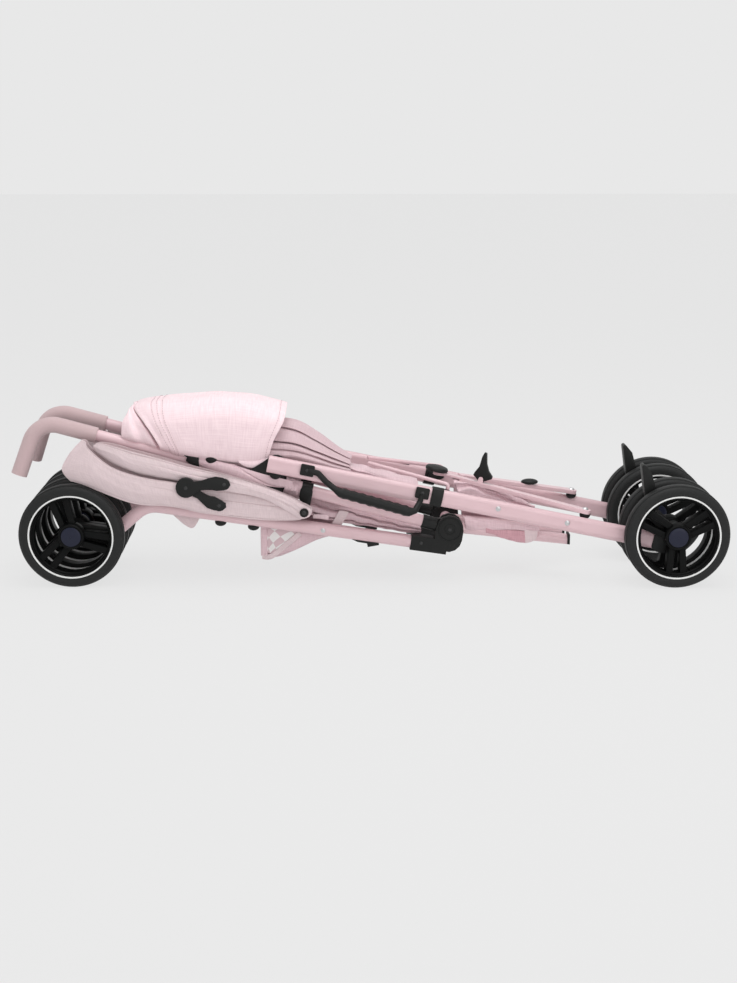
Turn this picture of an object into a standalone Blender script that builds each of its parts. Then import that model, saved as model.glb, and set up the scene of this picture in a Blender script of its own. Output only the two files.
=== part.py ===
"""Umbrella-fold stroller, folded and lying on its wheels.

Metres, +Z up, +X from the handles towards the rear wheels, the stroller's right side at -Y.
Angles are in degrees in the XZ plane, counted from +X towards +Z.
"""

import math

import bmesh
import bpy
from mathutils import Matrix, Vector
from mathutils.geometry import convex_hull_2d

# Driving dimensions: general
FIT = 0.0003
RUNNING = 0.0005
PIN_R = 0.004
SMALL_PIN_R = 0.0025
CENTRE_X = -0.0015

# Driving dimensions: wheels
WHEEL_R = 0.076
WHEEL_W = 0.026
PAIR_GAP = 0.022
TYRE_DEPTH = 0.0145
RIM_WALL = 0.005
WEB_W = 0.009
HUB_R = 0.0165
ARM_ROOT_W = 0.020
ARM_TIP_W = 0.027
ARM_SLOT_W = 0.008
FRONT_AXLE_X = -0.432
REAR_AXLE_PAST = 0.0167
FRONT_Y = 0.046
REAR_Y = 0.072

MM = 0.001

# Driving dimensions: handles
KNEE_X = 0.1182
KNEE_Z = 0.0775
HANDLE_ANGLE = 164.57
HANDLE_LEN = 0.618
HANDLE_R = 0.0088
HANDLE_END_ANGLE = 250.0
HANDLE_END_LEN = 0.084
HANDLE_BEND_R = 0.034
HANDLE_SPLAY = 0.012
GRIP_WALL = 0.0024
GRIP_REACH = 0.087

# Driving dimensions: knee joint
KNEE_R = 0.0203
KNEE_W = 0.020
TONGUE_W = 0.008
TONGUE_R = 0.0156
SOCKET_LEN = 0.0215
SOCKET_GRIP = 0.019

# Driving dimensions: front leg and caster
LEG_ANGLE = 171.53
LEG_R = 0.0095
LEG_OFFSET = 0.0280
LEG_STRAIGHT = 0.4441
LEG_END_LEN = 0.058
LEG_BEND = 48.8
LEG_BEND_R = 0.040
LEG_SLEEVE = 0.054
SLEEVE_WALL = 0.0009
CASTER_W = 0.016
CASTER_R = 0.014
STEM_LEN = 0.024

# Driving dimensions: rear leg
PIVOT_X = -0.135
PIVOT_Z = 0.1791
REAR_ANGLE = -11.81
REAR_H = 0.025
REAR_W = 0.014
REAR_TOP = 0.012
REAR_LEN = 0.575
REAR_HOLE_DEPTH = 0.011
BRACKET_W = 0.018
BRACKET_MOUTH = 0.015
PIVOT_BOSS_R = 0.013
COLLAR_WALL = 0.0035
COLLAR_LEN = 0.024

# Driving dimensions: brake lever
BRAKE_X = -0.0285
BRAKE_Z = 0.026
BRAKE_LEN = 0.079
BRAKE_ANGLE = 104.0
BRAKE_HUB_R = 0.0068
BRAKE_HUB_W = 0.008
BRAKE_PAD_W = 0.017

# Driving dimensions: folding cross bar
BAR_U = 0.4553
BAR_Y = 0.064
BAR_LEN = 0.2279
BAR_W = 0.012
BAR_T = 0.006
BAR_LIFT = 0.0207
BAR_LAP = 0.038
KNOB_R = 0.0175
KNOB_H = 0.008
PEDAL_AT = 0.1594
PEDAL_H = 0.040
PEDAL_BASE = 0.031
PEDAL_W = 0.0075
EAR_T = 0.0015
EAR_H = 0.0085

# Driving dimensions: sleeve and rod on the rear leg
SLEEVE_U = 0.2366
SLEEVE_LEN = 0.017
SLEEVE_T = 0.0022
ROD_R = 0.003
ROD_N = 0.019
ROD_FAR_U = 0.133
ROD_FAR_Y = 0.020

# Driving dimensions: carrying strap
STRAP_U0 = 0.0455
STRAP_U1 = 0.2146
STRAP_N = 0.0034
STRAP_PLATE_L = 0.020
STRAP_PLATE_H = 0.016
STRAP_PLATE_T = 0.004
STRAP_R = 0.0045
STRAP_GRIP_R = 0.0080
STRAP_RIBS = 8
STRAP_REACH = 0.014
STRAP_DROP0 = 0.0200
STRAP_DROP1 = 0.0279

# Driving dimensions: calf rest
RAIL_Y = 0.026
RAIL_R = 0.0080
RAIL_LEN = 0.181
RAIL_ANGLE = -6.6
CALF_START = 0.052
CALF_LEN = 0.092
CALF_H = 0.030

# Driving dimensions: canopy
CLIP_AT = 0.218
CANOPY_X = -0.095
CANOPY_Z = 0.1105
CANOPY_STUD_R = 0.0040
CANOPY_KNOB_R = 0.0066
LEAF_SPLIT_FROM = -255.0
LEAF_SPLIT_TO = -208.0
ARM_REACH = 0.0035
LEAF_OUT = 0.0795
STAY_T = 0.003
STAY_HUB_R = 0.0147
STAY_END_R = 0.0085
STAY_NECK_R = 0.0052
STAY_LOBE = 0.0120
STAY_HUB_X = -0.2640
STAY_HUB_Z = 0.1490
STAY_REAR_X = -0.2090
STAY_REAR_Z = 0.1540
STAY_FRONT_X = -0.2170
STAY_FRONT_Z = 0.1220

# Driving dimensions: seat cloth and basket
SEAT_HALF_W = 0.0542
SEAT_INNER_W = 0.0365
HOOD_HALF_W = 0.0645
COLLARS_FROM = -0.182
SEAT_STEP = 0.020
BASKET_LEN = 0.113
BASKET_H = 0.0605
BASKET_X = -0.1595
BASKET_LIFT = 0.004

ROUND_STEPS = 28
TUBE_SIDES = 12
RIGHT, LEFT = -1, 1
SIDES = (("right", RIGHT), ("left", LEFT))


# Scene and materials
for old in list(bpy.data.objects):
    bpy.data.objects.remove(old, do_unlink=True)


def material(name, colour, roughness, metallic=0.0):
    made = bpy.data.materials.new(name)
    made.use_nodes = True
    shader = made.node_tree.nodes["Principled BSDF"]
    shader.inputs["Base Color"].default_value = (*colour, 1.0)
    shader.inputs["Roughness"].default_value = roughness
    shader.inputs["Metallic"].default_value = metallic
    made.diffuse_color = (*colour, 1.0)
    return made


PINK_PAINT = material("pink_paint", (0.72, 0.48, 0.51), 0.38)
FOAM = material("foam", (0.55, 0.33, 0.35), 0.85)
BLACK = material("black_plastic", (0.02, 0.022, 0.022), 0.45)
RUBBER = material("tyre", (0.035, 0.037, 0.038), 0.7)
CLOTH = material("pink_cloth", (0.80, 0.62, 0.66), 0.95)


# Geometry helpers
def direction(angle):
    """Unit vector in the XZ plane."""
    return Vector((math.cos(math.radians(angle)), 0.0, math.sin(math.radians(angle))))


def turn(angle):
    """Rotation that lays local X along an angle of the XZ plane."""
    return Matrix.Rotation(-math.radians(angle), 4, "Y")


def mesh_of(bm):
    bmesh.ops.recalc_face_normals(bm, faces=bm.faces)
    mesh = bpy.data.meshes.new("shape")
    bm.to_mesh(mesh)
    bm.free()
    return mesh


def lofted(rings):
    """Closed solid through rings of points, with flat ends."""
    bm = bmesh.new()
    loops = [[bm.verts.new(point) for point in ring] for ring in rings]
    count = len(loops[0])
    for first, second in zip(loops, loops[1:]):
        for i in range(count):
            j = (i + 1) % count
            bm.faces.new((first[i], first[j], second[j], second[i]))
    bm.faces.new(loops[0])
    bm.faces.new(loops[-1])
    return mesh_of(bm)


def circle(radius, steps, centre=(0.0, 0.0), start=0.0):
    points = []
    for i in range(steps):
        a = start + 2 * math.pi * i / steps
        points.append((centre[0] + radius * math.cos(a), centre[1] + radius * math.sin(a)))
    return points


def hull(*circles, steps=14):
    """Outline of the tight band round circles given as (x, z, radius)."""
    points = []
    for x, z, radius in circles:
        points += circle(radius, steps, (x, z))
    return [points[i] for i in convex_hull_2d([Vector(p) for p in points])]


def prism(outline, y0, y1):
    """Outline in XZ, extruded along Y."""
    low, high = sorted((y0, y1))
    return lofted([[(x, y, z) for x, z in outline] for y in (low, high)])


def plate(outline, z0, z1):
    """Outline in XY, extruded along Z."""
    return lofted([[(x, y, z) for x, y in outline] for z in (z0, z1)])


def bar(section, x0, x1):
    """Section in YZ, extruded along X."""
    return lofted([[(x, y, z) for y, z in section] for x in (x0, x1)])


def rod(radius, y0, y1, centre=(0.0, 0.0), steps=TUBE_SIDES):
    """Round pin along Y."""
    return prism(circle(radius, steps, centre, 0.11), y0, y1)


def post(radius, z0, z1, centre=(0.0, 0.0), steps=TUBE_SIDES):
    """Round pin along Z."""
    return plate(circle(radius, steps, centre, 0.11), z0, z1)


def lathe(profile, steps=ROUND_STEPS):
    """Closed profile of (radius, y), turned about Y. A radius of 0 closes on the axis."""
    bm = bmesh.new()
    rows = []
    for radius, y in profile:
        if radius == 0.0:
            rows.append([bm.verts.new((0.0, y, 0.0))] * steps)
        else:
            rows.append([bm.verts.new((x, y, z)) for x, z in circle(radius, steps)])
    for first, second in zip(rows, rows[1:] + rows[:1]):
        for i in range(steps):
            j = (i + 1) % steps
            corners = []
            for vert in (first[i], first[j], second[j], second[i]):
                if vert not in corners:
                    corners.append(vert)
            if len(corners) > 2:
                bm.faces.new(corners)
    return mesh_of(bm)


def bent_path(corners, radius, steps=5):
    """Points along straight runs joined by arcs."""
    points = [Vector(corners[0])]
    for before, corner, after in zip(corners, corners[1:], corners[2:]):
        corner = Vector(corner)
        back = (Vector(before) - corner).normalized()
        ahead = (Vector(after) - corner).normalized()
        half = back.angle(ahead) / 2
        centre = corner + (back + ahead).normalized() * (radius / math.sin(half))
        start = corner + back * (radius / math.tan(half))
        arm = start - centre
        axis = back.cross(ahead)
        swing = -(math.pi - 2 * half)
        for i in range(steps + 1):
            points.append(centre + Matrix.Rotation(swing * i / steps, 3, axis) @ arm)
    points.append(Vector(corners[-1]))
    return points


def path_rings(points, radii, sides):
    """Rings square to a path, without twist."""
    rings = []
    tangents = []
    for i in range(len(points)):
        low, high = points[max(i - 1, 0)], points[min(i + 1, len(points) - 1)]
        tangents.append((high - low).normalized())
    across = Vector((0.0, 1.0, 0.0)) if abs(tangents[0].y) < 0.9 else Vector((1.0, 0.0, 0.0))
    for i, tangent in enumerate(tangents):
        across = (across - tangent * across.dot(tangent)).normalized()
        other = tangent.cross(across)
        ring = [points[i] + across * x + other * y for x, y in circle(radii[i], sides)]
        rings.append(ring)
    return rings


def swept(points, radius, sides=TUBE_SIDES):
    """Solid round tube along a path; radius is one value or one for each point."""
    points = [Vector(p) for p in points]
    radii = radius if isinstance(radius, list) else [radius] * len(points)
    return lofted(path_rings(points, radii, sides))


def solid_of(base, tools, operation):
    """Mesh of base cut by, or joined with, other meshes."""
    carrier = bpy.data.objects.new("carrier", base)
    bpy.context.scene.collection.objects.link(carrier)
    helpers = []
    for tool in tools:
        helper = bpy.data.objects.new("tool", tool)
        bpy.context.scene.collection.objects.link(helper)
        helper.hide_render = True
        helper.display_type = "WIRE"
        step = carrier.modifiers.new("step", "BOOLEAN")
        step.operation = operation
        step.solver = "EXACT"
        step.object = helper
        helpers.append(helper)
    graph = bpy.context.evaluated_depsgraph_get()
    made = bpy.data.meshes.new_from_object(carrier.evaluated_get(graph))
    for used in [carrier] + helpers:
        bpy.data.objects.remove(used, do_unlink=True)
    return made


def cut(base, *tools):
    return solid_of(base, tools, "DIFFERENCE")


def join(base, *tools):
    return solid_of(base, tools, "UNION")


def moved(mesh, offset=(0.0, 0.0, 0.0), angle=0.0):
    """A copy of a mesh, turned in the XZ plane and shifted."""
    copy = mesh.copy()
    copy.transform(Matrix.Translation(Vector(offset)) @ turn(angle))
    return copy


def empty(name, parent=None, at=(0.0, 0.0, 0.0), angle=0.0):
    made = bpy.data.objects.new(name, None)
    bpy.context.scene.collection.objects.link(made)
    made.parent = parent
    made.location = at
    made.rotation_euler = (0.0, -math.radians(angle), 0.0)
    return made


def put(name, mesh, finish, parent, at=(0.0, 0.0, 0.0)):
    """One sub-part: a named object on its parent."""
    made = bpy.data.objects.new(name, mesh)
    bpy.context.scene.collection.objects.link(made)
    mesh.name = name
    mesh.materials.clear()
    mesh.materials.append(finish)
    mesh.shade_smooth()
    mesh.set_sharp_from_angle(angle=math.radians(35))
    made.parent = parent
    made.location = at
    return made


def stadium(height, width, steps=4):
    """Oval section in YZ: round at the top and bottom, flat at the sides."""
    r = width / 2
    straight = height / 2 - r
    points = []
    for centre, start in ((straight, 0.0), (-straight, math.pi)):
        for i in range(steps + 1):
            a = start + math.pi * i / steps
            points.append((r * math.cos(a), centre + r * math.sin(a)))
    return points


def smooth(t):
    t = min(max(t, 0.0), 1.0)
    return t * t * (3 - 2 * t)


def between(table, t):
    """Value at t on a smooth line through (t, value) pairs."""
    for (t0, v0), (t1, v1) in zip(table, table[1:]):
        if t <= t1:
            return v0 + (v1 - v0) * smooth((t - t0) / (t1 - t0))
    return table[-1][1]


# Frame lines that several pieces share
STROLLER = empty("stroller", None, (CENTRE_X, 0.0, 0.0))
KNEE = Vector((KNEE_X, 0.0, KNEE_Z))
PIVOT = Vector((PIVOT_X, 0.0, PIVOT_Z))
FRONT_AXLE = Vector((FRONT_AXLE_X, 0.0, WHEEL_R))
REAR_AXLE = Vector((PIVOT_X + direction(REAR_ANGLE).x * REAR_LEN + REAR_AXLE_PAST, 0.0, WHEEL_R))
ALONG_HANDLE = direction(HANDLE_ANGLE)
WHEEL_Y = (PAIR_GAP + WHEEL_W) / 2
TYRE_IN_R = WHEEL_R - TYRE_DEPTH


def on_handle(distance, side=0, offset=(0.0, 0.0)):
    """Point on a handle tube's centre line, at a distance from the knee."""
    point = KNEE + ALONG_HANDLE * distance
    return Vector((point.x + offset[0], side * FRONT_Y, point.z + offset[1]))


def handle_z(x):
    """Height of the handle tubes' centre line over a point of the X axis."""
    return KNEE_Z + (KNEE_X - x) * math.tan(math.radians(180 - HANDLE_ANGLE))


def leg_z(x):
    """Height of the front legs' centre line, where they are straight."""
    foot = KNEE + direction(LEG_ANGLE + 90) * LEG_OFFSET
    return foot.z + (foot.x - x) * math.tan(math.radians(180 - LEG_ANGLE))


# Handle tubes and foam grips
def handle_path(side, start, end_trim=0.0):
    """Centre line of a handle, from a distance past the knee to its hooked end."""
    corner = on_handle(HANDLE_LEN, side)
    reach = direction(HANDLE_END_ANGLE) * HANDLE_END_LEN + Vector((0.0, side * HANDLE_SPLAY, 0.0))
    end = corner + reach * (1 - end_trim / HANDLE_END_LEN)
    straight = on_handle(start, side)
    return bent_path([straight, corner, end], HANDLE_BEND_R)


def make_handle(word, side, body):
    grip_start = HANDLE_LEN - GRIP_REACH
    start = KNEE_R + FIT + SOCKET_LEN - SOCKET_GRIP + FIT
    tube = swept(handle_path(side, start, GRIP_WALL + FIT), HANDLE_R)
    put(f"handle_tube_{word}", tube, PINK_PAINT, body)
    straight = on_handle(grip_start, side)
    whole = handle_path(side, start)
    outer = [straight] + [p for p in whole if (p - whole[0]).length > grip_start]
    first = whole[0] + (whole[1] - whole[0]) * ((grip_start - start) / (whole[1] - whole[0]).length)
    outer[0] = first
    inner = [first - ALONG_HANDLE * 0.01] + outer[1:-1]
    last = (outer[-1] - outer[-2]).normalized()
    inner.append(outer[-1] - last * GRIP_WALL)
    foam = swept(outer, HANDLE_R + FIT + GRIP_WALL)
    bore = swept(inner, HANDLE_R + FIT)
    put(f"handle_grip_{word}", cut(foam, bore), FOAM, body)


# Knee joints: a tongue on the handle tube between two cheeks on the front leg
def make_knee_socket(word, side, body):
    near = KNEE_R + FIT
    far = near + SOCKET_LEN
    r = HANDLE_R + FIT + SLEEVE_WALL
    block = bar(circle(r, 14), near, far)
    neck = prism(hull((0, 0, TONGUE_R), (near + 0.004, 0, r * 0.8)), -TONGUE_W / 2, TONGUE_W / 2)
    shape = join(block, neck)
    bore = bar([(y, z) for y, z in circle(HANDLE_R + FIT, TUBE_SIDES)], far - SOCKET_GRIP, far + 0.01)
    hole = rod(PIN_R + FIT, -TONGUE_W, TONGUE_W)
    frame = empty(f"knee_line_{word}", body, (KNEE_X, side * FRONT_Y, KNEE_Z), HANDLE_ANGLE)
    put(f"knee_socket_{word}", cut(shape, bore, hole), BLACK, frame)


def make_front_leg(word, side, leg):
    """Everything here is in the leg's frame: X down the leg, Z towards the floor when folded."""
    half = KNEE_W / 2
    lower = (0.0, LEG_OFFSET - 0.0137, KNEE_R)
    cheek = prism(hull((0, 0, KNEE_R), lower), -half, half)
    r = LEG_R + FIT + SLEEVE_WALL
    sleeve_top = LEG_OFFSET - r
    sleeve = prism([(0, sleeve_top), (LEG_SLEEVE, sleeve_top), (LEG_SLEEVE, LEG_OFFSET + r),
                    (0, LEG_OFFSET + r)], -half, half)
    shape = join(cheek, sleeve)
    gap = TONGUE_W / 2 + FIT
    room = prism(circle(TONGUE_R + FIT, 18), -gap, gap)
    low = HANDLE_R + 0.0055
    side_room = prism([(-KNEE_R * 2, -KNEE_R * 2), (KNEE_R * 2, -KNEE_R * 2), (KNEE_R * 2, low),
                       (-KNEE_R * 2, low)], -gap, gap)
    bore = bar([(y, LEG_OFFSET + z) for y, z in circle(LEG_R + FIT, TUBE_SIDES)],
               LEG_SLEEVE / 2, LEG_SLEEVE + 0.01)
    shape = cut(shape, join(room, side_room), bore)
    disc = rod(KNEE_R * 0.86, -half - 0.001, half + 0.001, steps=18)
    shape = join(shape, cut(disc, rod(KNEE_R, -half + 0.001, half - 0.001, steps=8)))
    shape = join(shape, rod(PIN_R, -half, half))
    put(f"knee_housing_{word}", shape, BLACK, leg)
    start = LEG_SLEEVE / 2 + FIT
    end = direction(LEG_BEND) * LEG_END_LEN
    path = bent_path([(start, 0, LEG_OFFSET), (LEG_STRAIGHT, 0, LEG_OFFSET),
                      (LEG_STRAIGHT + end.x, 0, LEG_OFFSET + end.z)], LEG_BEND_R)
    bore = swept([path[-1] - direction(LEG_BEND) * (STEM_LEN + RUNNING),
                  path[-1] + direction(LEG_BEND) * 0.01], PIN_R + RUNNING)
    put(f"front_leg_{word}", cut(swept(path, LEG_R), bore), PINK_PAINT, leg)
    return path[-1]


# Casters: a stem in the leg's end, an arm and the axle of two wheels
def make_caster(word, caster, axle_x, axle_z):
    half = CASTER_W / 2
    arm = prism(hull((LEG_R, 0, LEG_R), (axle_x, axle_z, CASTER_R)), -half, half)
    top = bar([(y, z) for y, z in circle(LEG_R, TUBE_SIDES)], RUNNING, LEG_R * 2)
    stem = bar([(y, z) for y, z in circle(PIN_R, TUBE_SIDES)], -STEM_LEN, LEG_R)
    notch = prism([(-LEG_R, -LEG_R * 2), (RUNNING, -LEG_R * 2), (RUNNING, LEG_R * 2), (-LEG_R, LEG_R * 2)],
                  -half * 2, half * 2)
    shape = join(join(cut(arm, notch), top), stem)
    reach = WHEEL_Y + WHEEL_W / 2 - 0.004
    axle = rod(PIN_R, -reach, reach, (axle_x, axle_z))
    put(f"caster_fork_{word}", join(shape, axle), BLACK, caster)


# Wheels: a tyre on a three-armed rim; hub cap on the outer face
def tyre_mesh():
    half = WHEEL_W / 2
    tread = WHEEL_R
    shoulder = WHEEL_R - 0.006
    inside = TYRE_IN_R + FIT
    profile = [(tread, -half * 0.5), (tread, half * 0.5), (shoulder, half), (inside, half * 0.9),
               (inside, -half * 0.9), (shoulder, -half)]
    return lathe(profile)


def arm_windows():
    """Cutters for the gaps between the arms and the slot in each arm."""
    inner = HUB_R + 0.004
    outer = TYRE_IN_R - RIM_WALL - 0.001
    first = math.asin(ARM_TIP_W / 2 / outer)
    root = math.asin(ARM_ROOT_W / 2 / inner)
    tools = []
    for arm in range(3):
        base = 2 * math.pi * arm / 3
        span = 2 * math.pi / 3
        outline = []
        for i in range(5):
            a = base + first + (span - 2 * first) * i / 4
            outline.append((outer * math.cos(a), outer * math.sin(a)))
        for i in range(2):
            a = base + span - root - (span - 2 * root) * i
            outline.append((inner * math.cos(a), inner * math.sin(a)))
        tools.append(prism(outline, -WHEEL_W, WHEEL_W))
        r = ARM_SLOT_W / 2
        near, far = inner + r, outer - r
        slot = hull((near * math.cos(base), near * math.sin(base), r),
                    (far * math.cos(base), far * math.sin(base), r), steps=6)
        tools.append(prism(slot, -WHEEL_W, WHEEL_W))
    return tools


def rim_mesh():
    """Rim about Y with its hub cap towards -Y."""
    half = WHEEL_W / 2
    well = TYRE_IN_R - RIM_WALL
    web = rod(well + 0.002, -WEB_W / 2, WEB_W / 2, steps=20)
    spokes = cut(web, *arm_windows())
    ring = lathe([(well, -half * 0.82), (TYRE_IN_R, -half * 0.82), (TYRE_IN_R, half * 0.82),
                  (well, half * 0.82)])
    hub = rod(HUB_R, -half * 0.95, half * 0.9, steps=14)
    bore = rod(PIN_R + FIT, -half + 0.0045 - RUNNING, half * 2, steps=10)
    return cut(join(join(ring, spokes), hub), bore)


def make_wheel(name, body, y, outward, angle, tyre, rim):
    """A wheel on its own axle line; outward is the side that its cap faces."""
    spin = empty(f"{name}_axis", body, (0.0, y, 0.0), angle)
    if outward > 0:
        spin.rotation_euler.z = math.pi
        spin.rotation_euler.y = math.radians(angle)
    put(name.replace("wheel", "tyre"), tyre.copy(), RUBBER, spin)
    put(name.replace("wheel", "rim"), rim.copy(), BLACK, spin)


# Rear legs: oval tubes with a moulded axle bracket
def make_rear_leg(word, side, leg, axle):
    tube = bar(stadium(REAR_H, REAR_W), -REAR_TOP, REAR_LEN)
    inner = -side * REAR_W / 2
    ear_top = BAR_LIFT - BAR_T / 2 - FIT
    inset = side * (BAR_Y - REAR_Y)
    ear = plate(hull((BAR_U, inset, 0.0075), (BAR_U, inner * 0.5, 0.0075), steps=16), 0.004, ear_top)
    pin = post(SMALL_PIN_R, 0.006, BAR_LIFT + BAR_T / 2, (BAR_U, inset))
    shape = join(join(tube, ear), pin)
    hole = rod(PIN_R + FIT, inner * 1.5, inner - math.copysign(REAR_HOLE_DEPTH, inner))
    put(f"rear_leg_{word}", cut(shape, hole), PINK_PAINT, leg)
    half = BRACKET_W / 2
    mouth = REAR_LEN - BRACKET_MOUTH
    block = prism(hull((mouth + 0.012, 0, 0.0150), (mouth + 0.030, 0.002, 0.0150),
                       (axle.x, axle.z, 0.0155)), -half, half)
    lever = brake_axis(axle)
    block = join(block, prism(hull((lever.x, lever.z, 0.0095), (axle.x - 0.008, axle.z, 0.010)), -half, half))
    top = REAR_H / 2 + 0.008
    face = prism([(mouth - 0.05, -0.05), (mouth, -0.05), (mouth, top), (mouth - 0.05, top)], -0.05, 0.05)
    pocket = bar(stadium(REAR_H + 2 * FIT, REAR_W + 2 * FIT), mouth - 0.01, REAR_LEN + FIT)
    gap = BRAKE_HUB_W / 2 + FIT
    reach = (BRAKE_HUB_R + RUNNING) * 3
    toward = Matrix.Translation((lever.x, 0, lever.z))
    slot = prism(circle(BRAKE_HUB_R + RUNNING, 24), -gap, gap)
    sweep_room = prism([(-reach, -0.001), (reach, -0.001), (reach, reach), (-reach, reach)], -gap, gap)
    slot = join(slot, sweep_room)
    slot.transform(toward @ turn(-REAR_ANGLE))
    shape = cut(block, face, pocket, slot)
    reach = WHEEL_Y + WHEEL_W / 2 - 0.004
    shape = join(shape, rod(PIN_R, -reach, reach, (axle.x, axle.z)))
    shape = join(shape, rod(SMALL_PIN_R, -half, half, (lever.x, lever.z)))
    put(f"rear_bracket_{word}", shape, BLACK, leg)


def brake_axis(axle):
    """The brake lever's pin in the rear leg's frame."""
    offset = turn(-REAR_ANGLE) @ Vector((BRAKE_X, 0.0, BRAKE_Z))
    return Vector((axle.x + offset.x, 0.0, axle.z + offset.z))


def make_brake(word, leg, axle):
    at = brake_axis(axle)
    frame = empty(f"brake_axis_{word}", leg, at, BRAKE_ANGLE - REAR_ANGLE)
    half = BRAKE_HUB_W / 2
    stem = prism(hull((0, 0, BRAKE_HUB_R), (BRAKE_LEN * 0.45, 0.001, BRAKE_HUB_R * 1.25)), -half, half)
    pad = BRAKE_PAD_W / 2
    blade = hull((BRAKE_LEN * 0.42, 0.0005, BRAKE_HUB_R * 1.3), (BRAKE_LEN * 0.80, -0.001, BRAKE_HUB_R * 0.9),
                 (BRAKE_LEN - 0.003, 0.002, 0.003))
    shape = join(stem, prism(blade, -pad, pad))
    lug = prism(circle(BRAKE_HUB_R * 0.5, 12, (BRAKE_LEN * 0.2, -BRAKE_HUB_R)), -half * 0.6, half * 0.6)
    shape = join(shape, lug)
    put(f"brake_lever_{word}", cut(shape, rod(SMALL_PIN_R + FIT, -half * 2, half * 2)), BLACK, frame)


# Brackets on the handle tube that carry the rear legs
def make_pivot_bracket(word, side, body):
    at = KNEE.x - PIVOT_X
    foot_z = handle_z(PIVOT_X) - PIVOT_Z
    outer = HANDLE_R + FIT + COLLAR_WALL
    collar = bar([(y, z) for y, z in circle(outer, 14)], -COLLAR_LEN / 2, COLLAR_LEN / 2)
    collar = moved(collar, (0, side * FRONT_Y, foot_z), HANDLE_ANGLE)
    face = REAR_Y - REAR_W / 2 - FIT
    web = prism(hull((0, foot_z, 0.0095), (0, 0, PIVOT_BOSS_R), (-0.039, foot_z + 0.019, 0.002)),
                side * (FRONT_Y + HANDLE_R), side * face)
    shape = join(collar, web)
    pin_end = face + FIT + REAR_HOLE_DEPTH - RUNNING
    shape = join(shape, rod(PIN_R, side * (FRONT_Y + HANDLE_R), side * pin_end))
    line = moved(bar([(y, z) for y, z in circle(HANDLE_R + FIT, TUBE_SIDES)], -0.1, 0.1),
                 (0, side * FRONT_Y, foot_z), HANDLE_ANGLE)
    put(f"pivot_bracket_{word}", cut(shape, line), BLACK, body, (KNEE.x - at, 0.0, PIVOT_Z))


# Folding cross bar: two halves with a lap joint at the middle knob
def make_lock_bar(word, bar_frame, upper):
    half = BAR_T / 2
    outline = hull((0, 0, 0.008), (BAR_LEN - 0.002, 0, BAR_W / 2), steps=20)
    shape = plate(outline, -half, half)
    low, high = (-half - 0.01, FIT / 2) if upper else (-FIT / 2, half + 0.01)
    lap = plate([(BAR_LEN - BAR_LAP, -0.02), (BAR_LEN + 0.02, -0.02), (BAR_LEN + 0.02, 0.02),
                 (BAR_LEN - BAR_LAP, 0.02)], low, high)
    hole = post(SMALL_PIN_R + FIT, -half * 2, half * 2)
    shape = cut(shape, lap, hole)
    if upper:
        inside = PEDAL_W / 2 + FIT
        ear = hull((PEDAL_AT, half - 0.001, 0.0045), (PEDAL_AT, half + EAR_H - 0.0035, 0.0035), steps=16)
        for y in (-inside - EAR_T, inside):
            shape = join(shape, prism(ear, y, y + EAR_T))
        pin = rod(0.0016, -inside - EAR_T / 2, inside + EAR_T / 2, (PEDAL_AT, half + EAR_H - 0.0035), 12)
        shape = join(shape, pin)
    put(f"lock_bar_{word}", shape, PINK_PAINT, bar_frame)


def make_knob(bar_frame):
    base = BAR_T / 2 + FIT
    profile = [(0.0, 0.0), (KNOB_R * 0.93, 0.0), (KNOB_R, KNOB_H * 0.3), (KNOB_R * 0.9, KNOB_H * 0.72),
               (KNOB_R * 0.5, KNOB_H * 0.95), (0.0, KNOB_H)]
    dome = lathe(profile, 20)
    dome.transform(Matrix.Rotation(math.pi / 2, 4, "X"))
    put("hub_knob", dome, BLACK, bar_frame, (BAR_LEN, 0.0, base))


def make_pedal(bar_frame):
    axis_z = BAR_T / 2 + EAR_H - 0.0035
    frame = empty("pedal_axis", bar_frame, (PEDAL_AT, 0.0, axis_z))
    reach = PEDAL_BASE / 2
    outline = [(-reach, 0.0035), (-0.004, -0.0032), (0.004, -0.0032), (reach * 0.82, 0.0035),
               (reach * 0.74, 0.008), (reach * 0.42, 0.018), (reach * 0.36, PEDAL_H * 0.82),
               (reach * 0.22, PEDAL_H), (0.0, PEDAL_H * 0.98), (-reach * 0.22, PEDAL_H * 0.6),
               (-reach * 0.55, 0.014), (-reach, 0.007)]
    shape = prism(outline, -PEDAL_W / 2, PEDAL_W / 2)
    put("foot_pedal", cut(shape, rod(0.0016 + FIT, -0.01, 0.01, steps=12)), BLACK, frame)


# Moulded sleeve and thin rod on each rear leg
def make_sleeve(word, side, leg):
    outer = bar(stadium(REAR_H + 2 * SLEEVE_T, REAR_W + 2 * SLEEVE_T), SLEEVE_U - SLEEVE_LEN / 2,
                SLEEVE_U + SLEEVE_LEN / 2)
    inner = -side * REAR_W / 2
    root = SLEEVE_U + SLEEVE_LEN / 2
    lug_y = -side * (REAR_Y - BAR_Y + 0.002)
    lug = prism(hull((root - 0.006, 0.002, 0.006), (root + 0.006, 0.006, 0.006)),
                inner - side * FIT, lug_y - side * 0.0045)
    bore = bar(stadium(REAR_H + 2 * FIT, REAR_W + 2 * FIT), 0.0, REAR_LEN)
    put(f"leg_sleeve_{word}", cut(join(outer, lug), bore), BLACK, leg)
    foot = Vector((root + 0.006, lug_y, 0.012 + FIT))
    bend = foot + Vector((0, 0, ROD_N - 0.012))
    end = Vector((ROD_FAR_U, -side * (REAR_Y - ROD_FAR_Y), ROD_N))
    path = bent_path([foot, bend, end], 0.004, 4)
    put(f"back_rod_{word}", swept(path, ROD_R, 10), PINK_PAINT, leg)


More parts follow.
